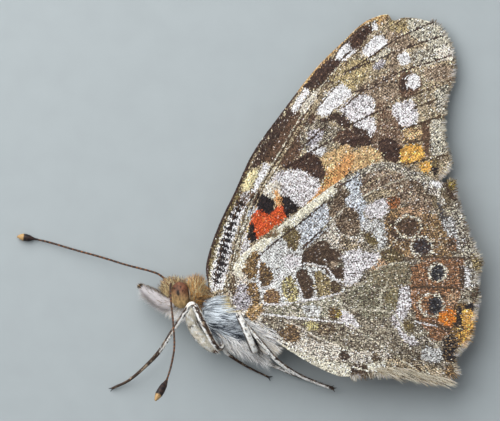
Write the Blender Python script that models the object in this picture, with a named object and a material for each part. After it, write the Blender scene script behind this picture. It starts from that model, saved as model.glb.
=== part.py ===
# Painted lady butterfly (Vanessa cardui), life size, lying on its right side with closed wings.
# Every size below is in millimetres and turned into metres where the meshes are made.
# +X points from the head end towards the wing margins, +Y from the body to the wing tips, +Z up.
# The origin is under the middle of the thorax, on the floor.
import math

import bmesh
import bpy
import numpy as np
from mathutils import Vector, geometry

MM = 0.001
GAP = 0.3

# Body
MIDLINE_Z = 2.25
BODY_TILT = -24.0
THORAX_LENGTH = 8.0
THORAX_DEPTH = 5.0
THORAX_WIDTH = 4.8
COLLAR_AT = (-3.45, 2.8)
HEAD_AT = (-5.3, 3.05)
EYE_AT = (-4.72, 2.7)
EYE_APART = 2.5
ABDOMEN_RADIUS = 1.5
ABDOMEN_Z = 2.5

# Wings
WING_THICKNESS = 0.5
RIM_THICKNESS = 0.36
VEIN_HEIGHT = 0.1
VEIN_HALF_WIDTH = 0.24
FAR_SIDE_SHARE = 0.985
WING_DROOP = 1.0

FOREWING_EDGE = [
    (-1.0, 1.7), (-2.2, 2.6), (-2.3, 3.7), (-2.5, 5.1), (-2.1, 6.9), (-1.2, 9.3),
    (0.1, 12.0), (1.8, 15.6), (4.3, 19.1), (7.3, 23.0), (9.9, 25.6), (11.9, 27.4),
    (13.9, 28.1), (14.5, 27.5), (15.4, 27.8), (16.9, 27.7), (18.4, 27.4), (19.5, 26.2),
    (20.2, 23.9), (20.0, 21.9), (19.5, 20.4), (19.2, 18.0), (19.4, 16.2), (19.8, 14.9),
    (19.3, 13.5), (15.0, 10.8), (8.7, 6.8), (3.3, 3.3), (0.6, 2.0),
]
HINDWING_EDGE = [
    (0.1, 1.0), (-0.4, 2.6), (-0.4, 4.2), (0.3, 5.8), (1.3, 6.8), (4.0, 8.8),
    (7.3, 11.4), (9.7, 13.1), (11.4, 14.0), (13.5, 14.7), (15.3, 14.4), (17.3, 13.5),
    (19.0, 13.0), (20.1, 13.2), (20.3, 11.8), (20.8, 10.0), (21.6, 7.8), (22.6, 5.7),
    (22.2, 4.3), (22.3, 2.2), (21.9, 0.3), (21.5, -1.5), (20.2, -3.0), (20.5, -4.4),
    (19.2, -5.2), (17.3, -5.0), (13.9, -4.8), (10.3, -4.8), (7.6, -3.8), (4.9, -2.2),
    (2.6, -0.4), (1.2, 0.6),
]
FOREWING_VEINS = {
    "subcosta": [(-1.8, 3.7), (-0.8, 7.6), (1.2, 12.3), (4.0, 17.0), (6.5, 20.5), (9.2, 23.8), (12.0, 27.0)],
    "radius": [(-1.2, 3.2), (0.4, 9.0), (2.6, 13.0), (5.0, 16.6), (7.8, 20.5), (10.5, 23.7), (13.0, 26.0), (15.3, 27.2)],
    "radius_5": [(7.8, 20.5), (10.1, 22.5), (12.5, 24.3), (14.8, 25.6), (18.1, 26.8)],
    "media_1": [(8.1, 19.8), (10.1, 21.5), (12.9, 23.2), (15.5, 24.3), (19.3, 25.4)],
    "media_2": [(8.5, 19.2), (11.0, 20.4), (13.4, 21.6), (17.4, 23.0), (19.8, 23.7)],
    "media_3": [(8.3, 17.6), (11.0, 18.3), (12.7, 19.1), (15.9, 20.6), (19.6, 21.9)],
    "cubitus": [(-0.8, 3.0), (1.6, 8.4), (4.1, 13.4), (6.6, 16.4), (8.3, 17.6)],
    "cubitus_1": [(4.9, 14.5), (8.3, 15.9), (11.9, 16.9), (15.0, 17.6), (19.0, 18.9)],
    "cubitus_2": [(1.4, 8.0), (4.7, 10.2), (8.3, 13.3), (10.1, 14.5), (13.7, 15.8), (19.1, 16.8)],
    "anal": [(-0.5, 2.3), (5.1, 7.0), (10.5, 11.2), (15.9, 14.4), (19.4, 15.2)],
    "cell_end": [(7.8, 20.5), (8.5, 19.2), (8.3, 17.6)],
}
HINDWING_VEINS = {
    "subcosta": [(0.6, 1.7), (2.3, 3.7), (2.6, 6.6), (4.2, 8.3), (6.9, 10.3), (10.1, 12.2), (13.7, 13.5), (19.3, 12.4)],
    "radius": [(2.3, 3.7), (4.7, 5.7), (6.9, 7.4), (9.2, 9.5), (12.5, 11.4), (16.4, 11.9), (20.1, 11.0)],
    "media_1": [(4.7, 5.7), (6.3, 5.9), (8.3, 6.8), (11.0, 8.1), (15.0, 9.3), (20.4, 9.6)],
    "media_2": [(8.3, 5.3), (11.4, 6.4), (14.6, 7.2), (17.7, 7.6), (21.2, 7.6)],
    "media_3": [(6.3, 5.9), (8.3, 5.3), (10.1, 4.2), (12.8, 4.9), (15.5, 5.5), (18.6, 5.8), (22.2, 5.5)],
    "cubitus_1": [(9.8, 3.1), (11.9, 3.4), (15.0, 3.3), (17.7, 3.3), (20.4, 3.1), (22.1, 2.9)],
    "cubitus_2": [(1.6, 1.6), (2.6, 1.9), (6.0, 2.2), (8.7, 2.7), (9.8, 3.1), (12.8, 2.1), (15.9, 0.9), (18.2, 0.3), (21.5, -0.2)],
    "anal_1": [(1.4, 1.2), (2.6, 1.0), (6.0, 0.6), (9.6, 0.3), (12.8, -0.4), (15.9, -1.6), (19.7, -3.1)],
    "anal_2": [(1.4, 0.8), (3.3, 0.1), (6.5, -0.9), (10.5, -2.4), (15.0, -3.7), (18.6, -4.6)],
    "cell_end": [(8.3, 5.3), (10.1, 4.2), (9.8, 3.1)],
}

# Legs and feelers: x, y, z and radius of each point along the limb
LIMBS = {
    "midleg_left": [
        (-0.8, -1.3, 3.2, 0.5), (-1.15, -2.1, 4.2, 0.52), (-1.7, -1.6, 5.0, 0.5), (-2.6, 0.1, 5.35, 0.52),
        (-3.6, 1.9, 5.2, 0.4), (-4.4, 1.0, 4.7, 0.32), (-5.4, -0.5, 3.95, 0.3), (-6.6, -2.35, 2.95, 0.29),
        (-7.9, -3.75, 1.85, 0.26), (-9.4, -5.05, 0.8, 0.25), (-10.9, -5.8, 0.2, 0.24),
    ],
    "midleg_right": [
        (-0.9, -1.2, 1.5, 0.45), (-0.8, -2.3, 1.2, 0.42), (-0.1, -2.95, 1.0, 0.34),
        (1.3, -3.85, 0.65, 0.28), (3.2, -4.8, 0.2, 0.24),
    ],
    "hindleg_left": [
        (1.3, -1.2, 3.2, 0.5), (1.9, -2.2, 4.3, 0.5), (1.6, -1.5, 5.1, 0.48), (1.0, 0.0, 5.6, 0.5),
        (0.5, 1.0, 5.75, 0.4), (1.1, 0.2, 5.35, 0.3), (2.6, -1.6, 5.0, 0.3), (4.0, -3.2, 4.0, 0.28),
        (5.7, -4.4, 2.7, 0.26), (7.4, -5.2, 1.7, 0.25), (9.0, -5.8, 0.95, 0.24),
    ],
    "hindleg_right": [
        (0.6, -1.6, 1.3, 0.48), (1.7, -2.9, 1.3, 0.42), (3.6, -3.7, 1.25, 0.34), (5.4, -4.5, 0.8, 0.28),
        (7.2, -5.2, 0.4, 0.26), (8.8, -5.7, 0.2, 0.24),
    ],
    "foreleg_left": [
        (-3.5, 1.9, 3.2, 0.45), (-3.75, 1.0, 3.45, 0.5), (-3.7, 0.2, 3.5, 0.5), (-3.3, -0.6, 3.5, 0.5),
        (-2.7, -1.35, 3.45, 0.52), (-2.05, -1.95, 3.35, 0.46), (-1.45, -2.35, 3.2, 0.28),
    ],
    "foreleg_right": [
        (-3.5, 1.9, 1.4, 0.4), (-3.8, 1.0, 1.0, 0.42), (-3.8, 0.2, 0.9, 0.42), (-3.4, -0.6, 0.9, 0.42),
        (-2.8, -1.35, 0.9, 0.4), (-2.2, -1.95, 0.9, 0.34),
    ],
    "antenna_left": [
        (-5.6, 3.7, 2.9, 0.27), (-5.62, 3.6, 3.7, 0.27), (-5.6, 2.9, 4.6, 0.25), (-5.5, 1.8, 5.4, 0.25),
        (-5.3, 0.0, 6.6, 0.25), (-5.2, -1.8, 7.9, 0.25), (-5.45, -3.4, 9.1, 0.25), (-5.8, -4.6, 10.0, 0.27),
        (-6.1, -5.2, 10.5, 0.36), (-6.5, -5.9, 11.0, 0.4), (-6.8, -6.4, 11.35, 0.27),
    ],
    "antenna_right": [
        (-5.7, 3.6, 1.8, 0.27), (-6.5, 4.4, 1.75, 0.27), (-7.4, 4.8, 1.6, 0.25), (-9.7, 5.4, 1.3, 0.25),
        (-12.0, 6.1, 0.95, 0.25), (-14.2, 6.7, 0.65, 0.25), (-16.6, 7.4, 0.42, 0.25), (-17.9, 7.7, 0.34, 0.28),
        (-18.5, 7.8, 0.34, 0.36), (-19.1, 7.9, 0.33, 0.38), (-19.5, 7.95, 0.3, 0.24),
    ],
}

# Colours
COAT = (0.36, 0.33, 0.30, 1.0)
HEAD_COAT = (0.45, 0.30, 0.15, 1.0)
PALE_HAIR = (0.78, 0.74, 0.66, 1.0)
EYE_BROWN = (0.40, 0.24, 0.15, 1.0)
WING_BROWN = (0.50, 0.36, 0.22, 1.0)
WING_OLIVE = (0.46, 0.40, 0.28, 1.0)
LEG_WHITE = (0.74, 0.71, 0.64, 1.0)
FEELER_BROWN = (0.16, 0.10, 0.07, 1.0)


def clear_scene():
    for obj in list(bpy.data.objects):
        bpy.data.objects.remove(obj)


def material(name, colour, roughness):
    made = bpy.data.materials.new(name)
    made.use_nodes = True
    shader = made.node_tree.nodes["Principled BSDF"]
    shader.inputs["Base Color"].default_value = colour
    shader.inputs["Roughness"].default_value = roughness
    return made


def mesh_object(name, points, faces, surface):
    """One object from points in millimetres."""
    mesh = bpy.data.meshes.new(name)
    mesh.from_pydata([tuple(c * MM for c in p) for p in points], [], faces)
    mesh.update()
    obj = bpy.data.objects.new(name, mesh)
    bpy.context.scene.collection.objects.link(obj)
    work = bmesh.new()
    work.from_mesh(mesh)
    bmesh.ops.recalc_face_normals(work, faces=work.faces)
    work.to_mesh(mesh)
    work.free()
    if surface:
        mesh.materials.append(surface)
    return obj


def ellipsoid(name, centre, radii, turn, surface, grow=0.0, floor=None, around=24, along=14):
    """An ovoid with its poles up and down, so that a floor flat is one round facet."""
    cosine = math.cos(math.radians(turn))
    sine = math.sin(math.radians(turn))
    points = []
    faces = []

    def put(u, v, w):
        x = u * (radii[0] + grow)
        y = v * (radii[1] + grow)
        z = centre[2] + w * (radii[2] + grow)
        if floor is not None:
            z = max(z, floor)
        points.append((centre[0] + x * cosine - y * sine, centre[1] + x * sine + y * cosine, z))

    put(0.0, 0.0, -1.0)
    for j in range(1, along):
        down = -math.cos(math.pi * j / along)
        wide = math.sin(math.pi * j / along)
        for i in range(around):
            angle = 2.0 * math.pi * i / around
            put(wide * math.cos(angle), wide * math.sin(angle), down)
    put(0.0, 0.0, 1.0)
    top = len(points) - 1
    for i in range(around):
        after = (i + 1) % around
        faces.append((0, 1 + after, 1 + i))
        for j in range(along - 2):
            low = 1 + j * around
            high = low + around
            faces.append((low + i, low + after, high + after, high + i))
        last = 1 + (along - 2) * around
        faces.append((last + i, last + after, top))
    return mesh_object(name, points, faces, surface)


def spline(points, closed, step):
    """Points at about equal steps along a smooth curve through the given ones."""
    given = np.array(points, float)
    count = len(given)
    spans = count if closed else count - 1
    dense = []
    for i in range(spans):
        if closed:
            a, b, c, d = (given[(i + k) % count] for k in (-1, 0, 1, 2))
        else:
            b = given[i]
            c = given[i + 1]
            a = given[i - 1] if i else 2 * b - c
            d = given[i + 2] if i + 2 < count else 2 * c - b
        for t in np.linspace(0.0, 1.0, 12, endpoint=False):
            dense.append(0.5 * (2 * b + (c - a) * t + (2 * a - 5 * b + 4 * c - d) * t * t
                                + (3 * b - a - 3 * c + d) * t ** 3))
    dense.append(given[0] if closed else given[-1])
    dense = np.array(dense)
    spans = np.linalg.norm(np.diff(dense[:, :3], axis=0), axis=1)
    length = np.concatenate([[0.0], np.cumsum(spans)])
    pieces = max(2, int(round(length[-1] / step)))
    at = np.linspace(0.0, length[-1], pieces + 1)
    even = np.stack([np.interp(at, length, dense[:, k]) for k in range(dense.shape[1])], axis=1)
    return even[:-1] if closed else even


def tube(name, path, sides, step, surface, floor=None, flat=1.0, smooth=True):
    """A round limb along x, y, z, radius points, its ends closed by low cones."""
    line = spline(path, False, step) if smooth else np.array(path, float)
    places = line[:, :3]
    ways = np.gradient(places, axis=0)
    ways /= np.linalg.norm(ways, axis=1)[:, None]
    points = []
    faces = []
    side = np.cross(ways[0], (0.0, 0.0, 1.0))
    if np.linalg.norm(side) < 0.2:
        side = np.cross(ways[0], (0.0, 1.0, 0.0))
    for place, way, radius in zip(places, ways, line[:, 3]):
        side = side - way * np.dot(side, way)
        side /= np.linalg.norm(side)
        up = np.cross(side, way)
        for i in range(sides):
            angle = 2.0 * math.pi * (i + 0.5) / sides
            spot = place + radius * (math.cos(angle) * side + flat * math.sin(angle) * up)
            points.append(spot)
    first = places[0] - ways[0] * line[0, 3] * 0.5
    last = places[-1] + ways[-1] * line[-1, 3] * 0.7
    points.append(first)
    points.append(last)
    rings = len(places)
    for i in range(sides):
        after = (i + 1) % sides
        for j in range(rings - 1):
            faces.append((j * sides + i, j * sides + after, (j + 1) * sides + after, (j + 1) * sides + i))
        faces.append((rings * sides, after, i))
        faces.append(((rings - 1) * sides + i, (rings - 1) * sides + after, rings * sides + 1))
    if floor is not None:
        points = [(p[0], p[1], max(p[2], floor)) for p in points]
    return mesh_object(name, points, faces, surface)


def keep_largest(obj):
    """Puts the cut shape in place of the modifiers and leaves only its largest closed surface."""
    graph = bpy.context.evaluated_depsgraph_get()
    mesh = bpy.data.meshes.new_from_object(obj.evaluated_get(graph))
    obj.modifiers.clear()
    obj.data = mesh
    work = bmesh.new()
    work.from_mesh(mesh)
    left = set(work.verts)
    groups = []
    while left:
        group = set()
        queue = [left.pop()]
        while queue:
            vert = queue.pop()
            group.add(vert)
            for edge in vert.link_edges:
                other = edge.other_vert(vert)
                if other in left:
                    left.discard(other)
                    queue.append(other)
        groups.append(group)
    groups.sort(key=len)
    for group in groups[:-1]:
        bmesh.ops.delete(work, geom=list(group), context="VERTS")
    work.to_mesh(mesh)
    work.free()


def cut(obj, cutters):
    for number, cutter in enumerate(cutters):
        cutter.hide_render = True
        cutter.display_type = "WIRE"
        modifier = obj.modifiers.new("gap_%d" % number, "BOOLEAN")
        modifier.operation = "DIFFERENCE"
        modifier.solver = "EXACT"
        modifier.object = cutter
    bpy.context.view_layer.update()
    keep_largest(obj)


def away(points, lines):
    """Distance in the plane from each point to the nearest of the polylines."""
    points = np.asarray(points, float).reshape(-1, 2)
    best = np.full(len(points), 1e9)
    for line in lines:
        for a, b in zip(line[:-1], line[1:]):
            along = b - a
            share = np.clip(((points - a) @ along) / max(along @ along, 1e-12), 0.0, 1.0)
            gap = np.linalg.norm(points - (a + share[:, None] * along), axis=1)
            best = np.minimum(best, gap)
    return best


def inside(points, ring):
    points = np.asarray(points, float).reshape(-1, 2)
    found = np.zeros(len(points), bool)
    for a, b in zip(ring, np.roll(ring, -1, axis=0)):
        crosses = (a[1] > points[:, 1]) != (b[1] > points[:, 1])
        where = (b[0] - a[0]) * (points[:, 1] - a[1]) / (b[1] - a[1] + 1e-12) + a[0]
        found ^= crosses & (points[:, 0] < where)
    return found


def smoothstep(value, start, end):
    share = np.clip((value - start) / (end - start), 0.0, 1.0)
    return share * share * (3.0 - 2.0 * share)


def body_rise(points):
    """1 over the abdomen, falling to 0 a few millimetres to its sides."""
    return np.exp(-(away(points, [np.array([(2.5, -0.2), (12.8, -2.4)])]) / 5.0) ** 2)


def hindwing_left_height(points):
    return 2.93 + 1.6 * body_rise(points)


def forewing_left_height(points):
    return 2.05 + 1.35 * body_rise(points) - WING_DROOP * smoothstep(points[:, 1], 16.0, 26.5)


def forewing_right_height(points):
    return 1.22 + 0.2 * body_rise(points) - WING_DROOP * smoothstep(points[:, 1], 16.0, 26.5)


def hindwing_right_height(points):
    return 0.4 + 0.05 * body_rise(points) - 0.2 * smoothstep(points[:, 0], 15.0, 21.5)


def wing(name, edge, veins, height, outward, share, surface):
    """A thin vane, split into the same triangles on both faces, with its veins raised on the outward face."""
    base = np.array([0.0, 1.5])
    ring = base + share * (spline(edge, True, 0.95) - base)
    crests = [base + share * (spline(vein, False, 1.5) - base) for vein in veins.values()]
    rim = [np.vstack([ring, ring[:1]])]
    points = list(ring)
    edges = [(i, (i + 1) % len(ring)) for i in range(len(ring))]

    def add_line(line, clear):
        ways = np.gradient(line, axis=0)
        ways /= np.linalg.norm(ways, axis=1)[:, None]
        for shift in (0.0, -VEIN_HALF_WIDTH, VEIN_HALF_WIDTH):
            moved = line + shift * np.stack([-ways[:, 1], ways[:, 0]], axis=1)
            good = inside(moved, ring) & (away(moved, rim) > 0.45)
            if shift:
                good &= away(moved, crests) > clear
            before = None
            for spot, use in zip(moved, good):
                if not use:
                    before = None
                    continue
                points.append(spot)
                if before is not None:
                    edges.append((before, len(points) - 1))
                before = len(points) - 1

    for crest in crests:
        add_line(crest, 0.2)
    low = ring.min(axis=0)
    high = ring.max(axis=0)
    fill = []
    for row, y in enumerate(np.arange(low[1], high[1], 1.9)):
        for x in np.arange(low[0] + (row % 2) * 1.1, high[0], 2.2):
            fill.append((x, y))
    fill = np.array(fill)
    fill = fill[inside(fill, ring)]
    fill = fill[(away(fill, rim) > 0.9) & (away(fill, crests) > 0.9)]
    points.extend(fill)
    flat, _, triangles, _, _, _ = geometry.delaunay_2d_cdt(
        [Vector(p) for p in points], edges, [list(range(len(ring)))], 1, 1e-4)
    flat = np.array([tuple(p) for p in flat])
    middle = height(flat)
    half = np.where(away(flat, rim) < 0.05, RIM_THICKNESS / 2, WING_THICKNESS / 2)
    ridge = VEIN_HEIGHT * np.clip(1.0 - away(flat, crests) / VEIN_HALF_WIDTH, 0.0, 1.0)
    ridge *= away(flat, rim) > 0.05
    top = middle + half + ridge * (outward > 0)
    bottom = np.maximum(middle - half - ridge * (outward < 0), 0.0)
    count = len(flat)
    solid = [(x, y, z) for (x, y), z in zip(flat, top)] + [(x, y, z) for (x, y), z in zip(flat, bottom)]
    faces = []
    seen = {}
    for a, b, c in triangles:
        faces.append((a, b, c))
        faces.append((c + count, b + count, a + count))
        for start, end in ((a, b), (b, c), (c, a)):
            seen[(start, end)] = True
    for start, end in seen:
        if (end, start) not in seen:
            faces.append((start, start + count, end + count, end))
    return mesh_object(name, solid, faces, surface)


def thorax(name, surface, grow=0.0):
    radii = (THORAX_LENGTH / 2, THORAX_DEPTH / 2, THORAX_WIDTH / 2)
    floor = None if grow else 0.0
    return ellipsoid(name, (0.0, 0.0, MIDLINE_Z), radii, BODY_TILT, surface, grow, floor, 32, 16)


def collar(name, surface, grow=0.0):
    return ellipsoid(name, COLLAR_AT + (MIDLINE_Z,), (1.05, 1.85, 1.8), -12.0, surface, grow, None, 24, 12)


def head(name, surface, grow=0.0):
    return ellipsoid(name, HEAD_AT + (MIDLINE_Z,), (1.65, 1.45, 1.3), 0.0, surface, grow, None, 24, 12)


def eye(name, side, surface):
    centre = (EYE_AT[0], EYE_AT[1], MIDLINE_Z + side * EYE_APART / 2)
    return ellipsoid(name, centre, (0.9, 1.2, 0.85), 6.0, surface, 0.0, None, 20, 12)


def palp(name, side, surface):
    z = MIDLINE_Z + side * 0.6
    path = [(-5.4, 1.8, z, 0.75), (-6.4, 2.1, z, 0.8), (-7.25, 2.7, z, 0.62), (-8.0, 3.2, z, 0.36), (-8.5, 3.55, z, 0.14)]
    return tube(name, path, 10, 0.45, surface, None, 0.55)


def abdomen(name, surface):
    """Rings that swell between the joints of the abdomen and close at its tip."""
    start = np.array([2.0, -0.55, ABDOMEN_Z])
    end = np.array([12.3, -2.4, ABDOMEN_Z])
    path = []
    steps = 33
    for i in range(steps + 1):
        t = i / steps
        swell = min(1.0, 0.72 + 1.5 * t) * math.sqrt(max(1.0 - max(0.0, (t - 0.35) / 0.665) ** 2.6, 0.0))
        ring = 1.0 - 0.035 * (1.0 if i % 4 == 3 else 0.0)
        place = start + (end - start) * t
        path.append((place[0], place[1], place[2], max(ABDOMEN_RADIUS * swell * ring, 0.18)))
    return tube(name, path, 20, 0.3, surface, None, 1.0, False)


def build_body():
    coat = material("thorax_coat", COAT, 0.85)
    head_coat = material("head_coat", HEAD_COAT, 0.85)
    pale = material("pale_hair", PALE_HAIR, 0.85)
    glossy = material("eye_surface", EYE_BROWN, 0.25)
    middle = thorax("thorax", coat)
    near_thorax = thorax("thorax_gap", None, GAP)
    near_collar = collar("collar_gap", None, GAP)
    near_head = head("head_gap", None, GAP)
    neck = collar("collar", head_coat)
    cut(neck, [near_thorax])
    skull = head("head", head_coat)
    cut(skull, [near_collar])
    for side, word in ((1, "left"), (-1, "right")):
        cut(eye("eye_" + word, side, glossy), [near_head, near_collar])
        cut(palp("palp_" + word, side, pale), [near_head])
    cut(abdomen("abdomen", pale), [near_thorax])
    return middle, near_thorax, near_collar, near_head


def build_wings(near_thorax):
    brown = material("forewing_surface", WING_BROWN, 0.7)
    olive = material("hindwing_surface", WING_OLIVE, 0.7)
    for word, sides in (("left", (forewing_left_height, hindwing_left_height, 1, 1.0)),
                        ("right", (forewing_right_height, hindwing_right_height, -1, FAR_SIDE_SHARE))):
        fore, hind, outward, share = sides
        cut(wing("forewing_" + word, FOREWING_EDGE, FOREWING_VEINS, fore, outward, share, brown), [near_thorax])
        cut(wing("hindwing_" + word, HINDWING_EDGE, HINDWING_VEINS, hind, outward, share, olive), [near_thorax])


def build_limbs(near_thorax, near_collar, near_head):
    white = material("leg_scales", LEG_WHITE, 0.7)
    dark = material("feeler_surface", FEELER_BROWN, 0.5)
    for name, path in LIMBS.items():
        if name.startswith("antenna"):
            cut(tube(name, path, 8, 0.55, dark, 0.0), [near_head])
        elif name.startswith("foreleg"):
            cut(tube(name, path, 8, 0.4, white, 0.0), [near_thorax, near_collar])
        else:
            cut(tube(name, path, 8, 0.55, white, 0.0), [near_thorax])


def hang_on(parent_name, names):
    parent = bpy.data.objects[parent_name]
    for name in names:
        bpy.data.objects[name].parent = parent


def main():
    clear_scene()
    _, near_thorax, near_collar, near_head = build_body()
    build_wings(near_thorax)
    build_limbs(near_thorax, near_collar, near_head)
    hang_on("thorax", ["collar", "abdomen", "forewing_left", "forewing_right", "hindwing_left", "hindwing_right",
                       "midleg_left", "midleg_right", "hindleg_left", "hindleg_right", "foreleg_left", "foreleg_right"])
    hang_on("collar", ["head"])
    hang_on("head", ["eye_left", "eye_right", "palp_left", "palp_right", "antenna_left", "antenna_right"])
    for name in ("thorax_gap", "collar_gap", "head_gap"):
        bpy.data.objects.remove(bpy.data.objects[name])


main()
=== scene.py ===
# Looks of a life-size painted lady butterfly that lies on its right side with closed wings.
# Sizes are in millimetres unless a line says otherwise, and turned into metres where meshes are made.
import math

import bpy
import numpy as np
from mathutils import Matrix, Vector, geometry


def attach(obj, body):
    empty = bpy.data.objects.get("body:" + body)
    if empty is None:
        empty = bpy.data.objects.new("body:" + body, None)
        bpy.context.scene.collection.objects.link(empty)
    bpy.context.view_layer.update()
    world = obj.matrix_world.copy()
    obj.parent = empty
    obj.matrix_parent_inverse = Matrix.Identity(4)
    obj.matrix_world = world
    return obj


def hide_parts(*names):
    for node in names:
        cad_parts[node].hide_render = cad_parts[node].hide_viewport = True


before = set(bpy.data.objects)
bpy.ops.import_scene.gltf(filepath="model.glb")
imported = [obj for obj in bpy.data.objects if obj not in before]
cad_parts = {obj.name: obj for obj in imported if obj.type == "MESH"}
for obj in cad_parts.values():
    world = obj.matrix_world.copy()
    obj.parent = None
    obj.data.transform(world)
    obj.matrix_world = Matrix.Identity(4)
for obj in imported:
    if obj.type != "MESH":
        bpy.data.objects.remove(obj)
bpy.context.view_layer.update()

MM = 0.001
TAU = 2.0 * math.pi
# Lowest heights of solid sheets and of the coat above the floor
SHEET_FLOOR = 0.02
COAT_FLOOR = 0.01
# Seeds of the random draws, the first of each row of pieces
SEEDS = {
    "membrane": 5, "body_skin": 61, "body_hair": 62, "palp": 80,
    "wing_scales": 100, "fringe": 110, "limb": 200,
}

# Floor, light and camera, in metres. Each lamp has a place, a size and a power in watts.
FLOOR_HALF = 1.2
FLOOR_GRAIN = 900.0
FLOOR_TONES = ((0.325, 0.356, 0.366, 1.0), (0.357, 0.392, 0.402, 1.0))
ROOM_TONE = (0.9, 0.95, 1.0, 1.0)
ROOM_LIGHT = 0.355
LAMPS = {"key": ((-0.1, 0.13, 0.155), 0.32, 1.02), "fill": ((0.4, -0.1, 0.5), 0.6, 0.1)}
LAMP_AIM = (0.005, 0.01, 0.0)
CAMERA_HEIGHT = 0.4
CAMERA_REACH = (0.01, 20.0)
FRAME_WIDTH = 0.045
FRAME_MIDDLE = (0.00153, 0.0103, 0.003)

# Finishes: roughness, size and depth of the grain, how far the grain varies the colour, and sheen
FINISHES = {
    "wing_membrane": (0.6, 0.06, 0.02, 0.25, 0.0),
    "wing_scales": (0.55, 0.05, 0.015, 0.28, 0.05),
    "wing_fringe": (0.7, 0.05, 0.01, 0.1, 0.0),
    "body_cuticle": (0.5, 0.12, 0.03, 0.15, 0.0),
    "silky_hair": (0.42, 0.08, 0.01, 0.12, 0.2),
    "compound_eye": (0.5, 0.05, 0.02, 0.3, 0.0),
    "loose_pale_hair": (0.45, 0.08, 0.01, 0.12, 0.15),
    "leg_cuticle": (0.5, 0.06, 0.02, 0.12, 0.0),
    "leg_scale_coat": (0.5, 0.05, 0.01, 0.1, 0.1),
    "feeler_cuticle": (0.4, 0.06, 0.015, 0.15, 0.0),
}

# Body: height of its midline, tilt in the plane in degrees, and the middle, half-widths and turn of the
# ovoids of thorax, neck, back of the head, head, waist and abdomen
MIDLINE_Z = 2.25
BODY_TILT = -24.0
BODY_FORMS = (
    ((0.0, 0.0, MIDLINE_Z), (3.7, 2.2, 2.1), BODY_TILT),
    ((-3.4, 2.65, MIDLINE_Z), (1.0, 1.45, 1.4), -12.0),
    ((-4.4, 2.85, MIDLINE_Z), (0.8, 0.8, 0.8), 0.0),
    ((-5.25, 2.95, MIDLINE_Z), (1.3, 1.15, 1.05), 0.0),
    ((3.4, -0.9, 2.4), (2.2, 1.2, 1.25), -12.0),
    ((7.2, -1.5, 2.5), (5.2, 1.25, 1.25), -10.0),
)
FORM_GRID = (14, 24)
MELT_SIZE = 0.16
SOFTEN_ROUNDS = 6
# Hairs to a square millimetre, the share of them on the abdomen, the way that they lie in degrees, and where
# along x the abdomen, neck and head begin
HAIR_DENSITY = 130.0
TAIL_SHARE = 0.35
HAIR_LIE = -5.0
TAIL_FROM = 3.4
NECK_FROM = -2.7
HEAD_FROM = -4.4
FACE_BELOW = 2.4
# Hair of neck, head and face: the way that it lies, its spread, and its shortest and longest
HAIR_ZONES = {
    "neck": ((0.0, 0.75, 0.0), 0.4, (0.5, 1.1)),
    "head": ((-0.35, 0.6, 0.0), 0.3, (0.4, 0.85)),
    "face": ((-0.6, -0.7, 0.0), 0.25, (0.7, 1.3)),
}

# Eyes, with their dark false pupils on a ball of radius 1: place, half-widths and depth
EYE_AT = (-4.72, 2.7)
EYE_APART = 2.5
EYE_RADII = (0.9, 1.2, 0.85)
EYE_TURN = 6.0
EYE_GRID = (60, 90)
EYE_CLEARANCE = 1.02
EYE_PUPILS = (
    (-0.2, 0.2, 0.15, 0.22, 0.92), (0.1, 0.62, 0.1, 0.08, 0.7), (-0.5, 0.55, 0.1, 0.08, 0.7),
    (-0.1, -0.3, 0.1, 0.1, 0.5), (0.3, 0.3, 0.08, 0.06, 0.5), (-0.45, -0.1, 0.08, 0.07, 0.5),
)

# Wings: the sheet, its veins and its hair-scales
WING_BASE = (-1.0, 1.0)
ABDOMEN_LINE = ((2.5, -0.2), (12.8, -2.4))
ABDOMEN_REACH = 5.0
MEMBRANE = 0.08
MEMBRANE_INSET = 0.05
FRINGE_INSET = 0.38
FRINGE_REACH = 0.3
FRINGE_APART = 0.035
VEIN_HEIGHT = 0.07
VEIN_WIDTH = 0.12
VEIN_SAG = 0.05
FOREWING_FRINGE_FROM = (17.8, 13.0)
HINDWING_FRINGE_FROM = (19.3, 10.5, -2.0)
# Mesh of a sheet: steps along its rim and veins, rows beside a vein, and distances kept from rim and veins
EDGE_STEP = 0.3
VEIN_STEP = 0.6
VEIN_ROWS = (0.0, -0.15, 0.15)
RIM_CLEARANCE = 0.2
ROW_CLEARANCE = 0.12
FILL_CLEARANCE = 0.28
FILL_STEPS = (0.42, 0.36)
# How far from its rim the hindwing hides the forewing's scales
HINDWING_COVER = 2.2
FAR_SIDE_SHARE = 0.985
FAR_SIDE_CENTRE = (0.0, 1.5)

# Height of each wing's middle: level, rise over the abdomen, droop, and the axis and stretch it droops along
WING_HEIGHTS = {
    "forewing_left": (2.05, 1.35, 1.0, 1, 16.0, 26.5),
    "hindwing_left": (2.93, 1.6, 0.0, 0, 15.0, 21.5),
    "forewing_right": (1.22, 0.2, 1.0, 1, 16.0, 26.5),
    "hindwing_right": (0.4, 0.05, 0.2, 0, 15.0, 21.5),
}

# Scales: size, the angles about the wing's base that they fill, and for near and far wings how far apart
# rows and scales are and their share of the size
SCALE_LENGTH = 0.24
SCALE_WIDTH = 0.125
SCALE_ARC = (-math.pi / 2.2, math.pi * 0.9)
SCALE_GRIDS = {"left": (0.102, 0.075, 0.82), "right": (0.19, 0.135, 1.45)}

# Stations along a scale and along a hair: share of the length, share of the width, and a scale's belly
SCALE_STATIONS = ((0.0, 0.22, 0.0), (0.55, 0.5, 0.012), (1.0, 0.3, 0.0))
HAIR_STATIONS = ((0.0, 0.8), (0.35, 1.0), (0.7, 0.7), (1.0, 0.0))

# Map places: the size of one scale's or hair's patch and the margin about a wing
MAP_PATCH = 0.0015
MAP_MARGIN = 0.5

# Wavering edges of the marks: size, depth and seed of each wave, and how far single scales stray
EDGE_WAVES = ((0.6, 0.06, 3), (0.2, 0.04, 7))
EDGE_SCATTER = 0.075
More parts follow.
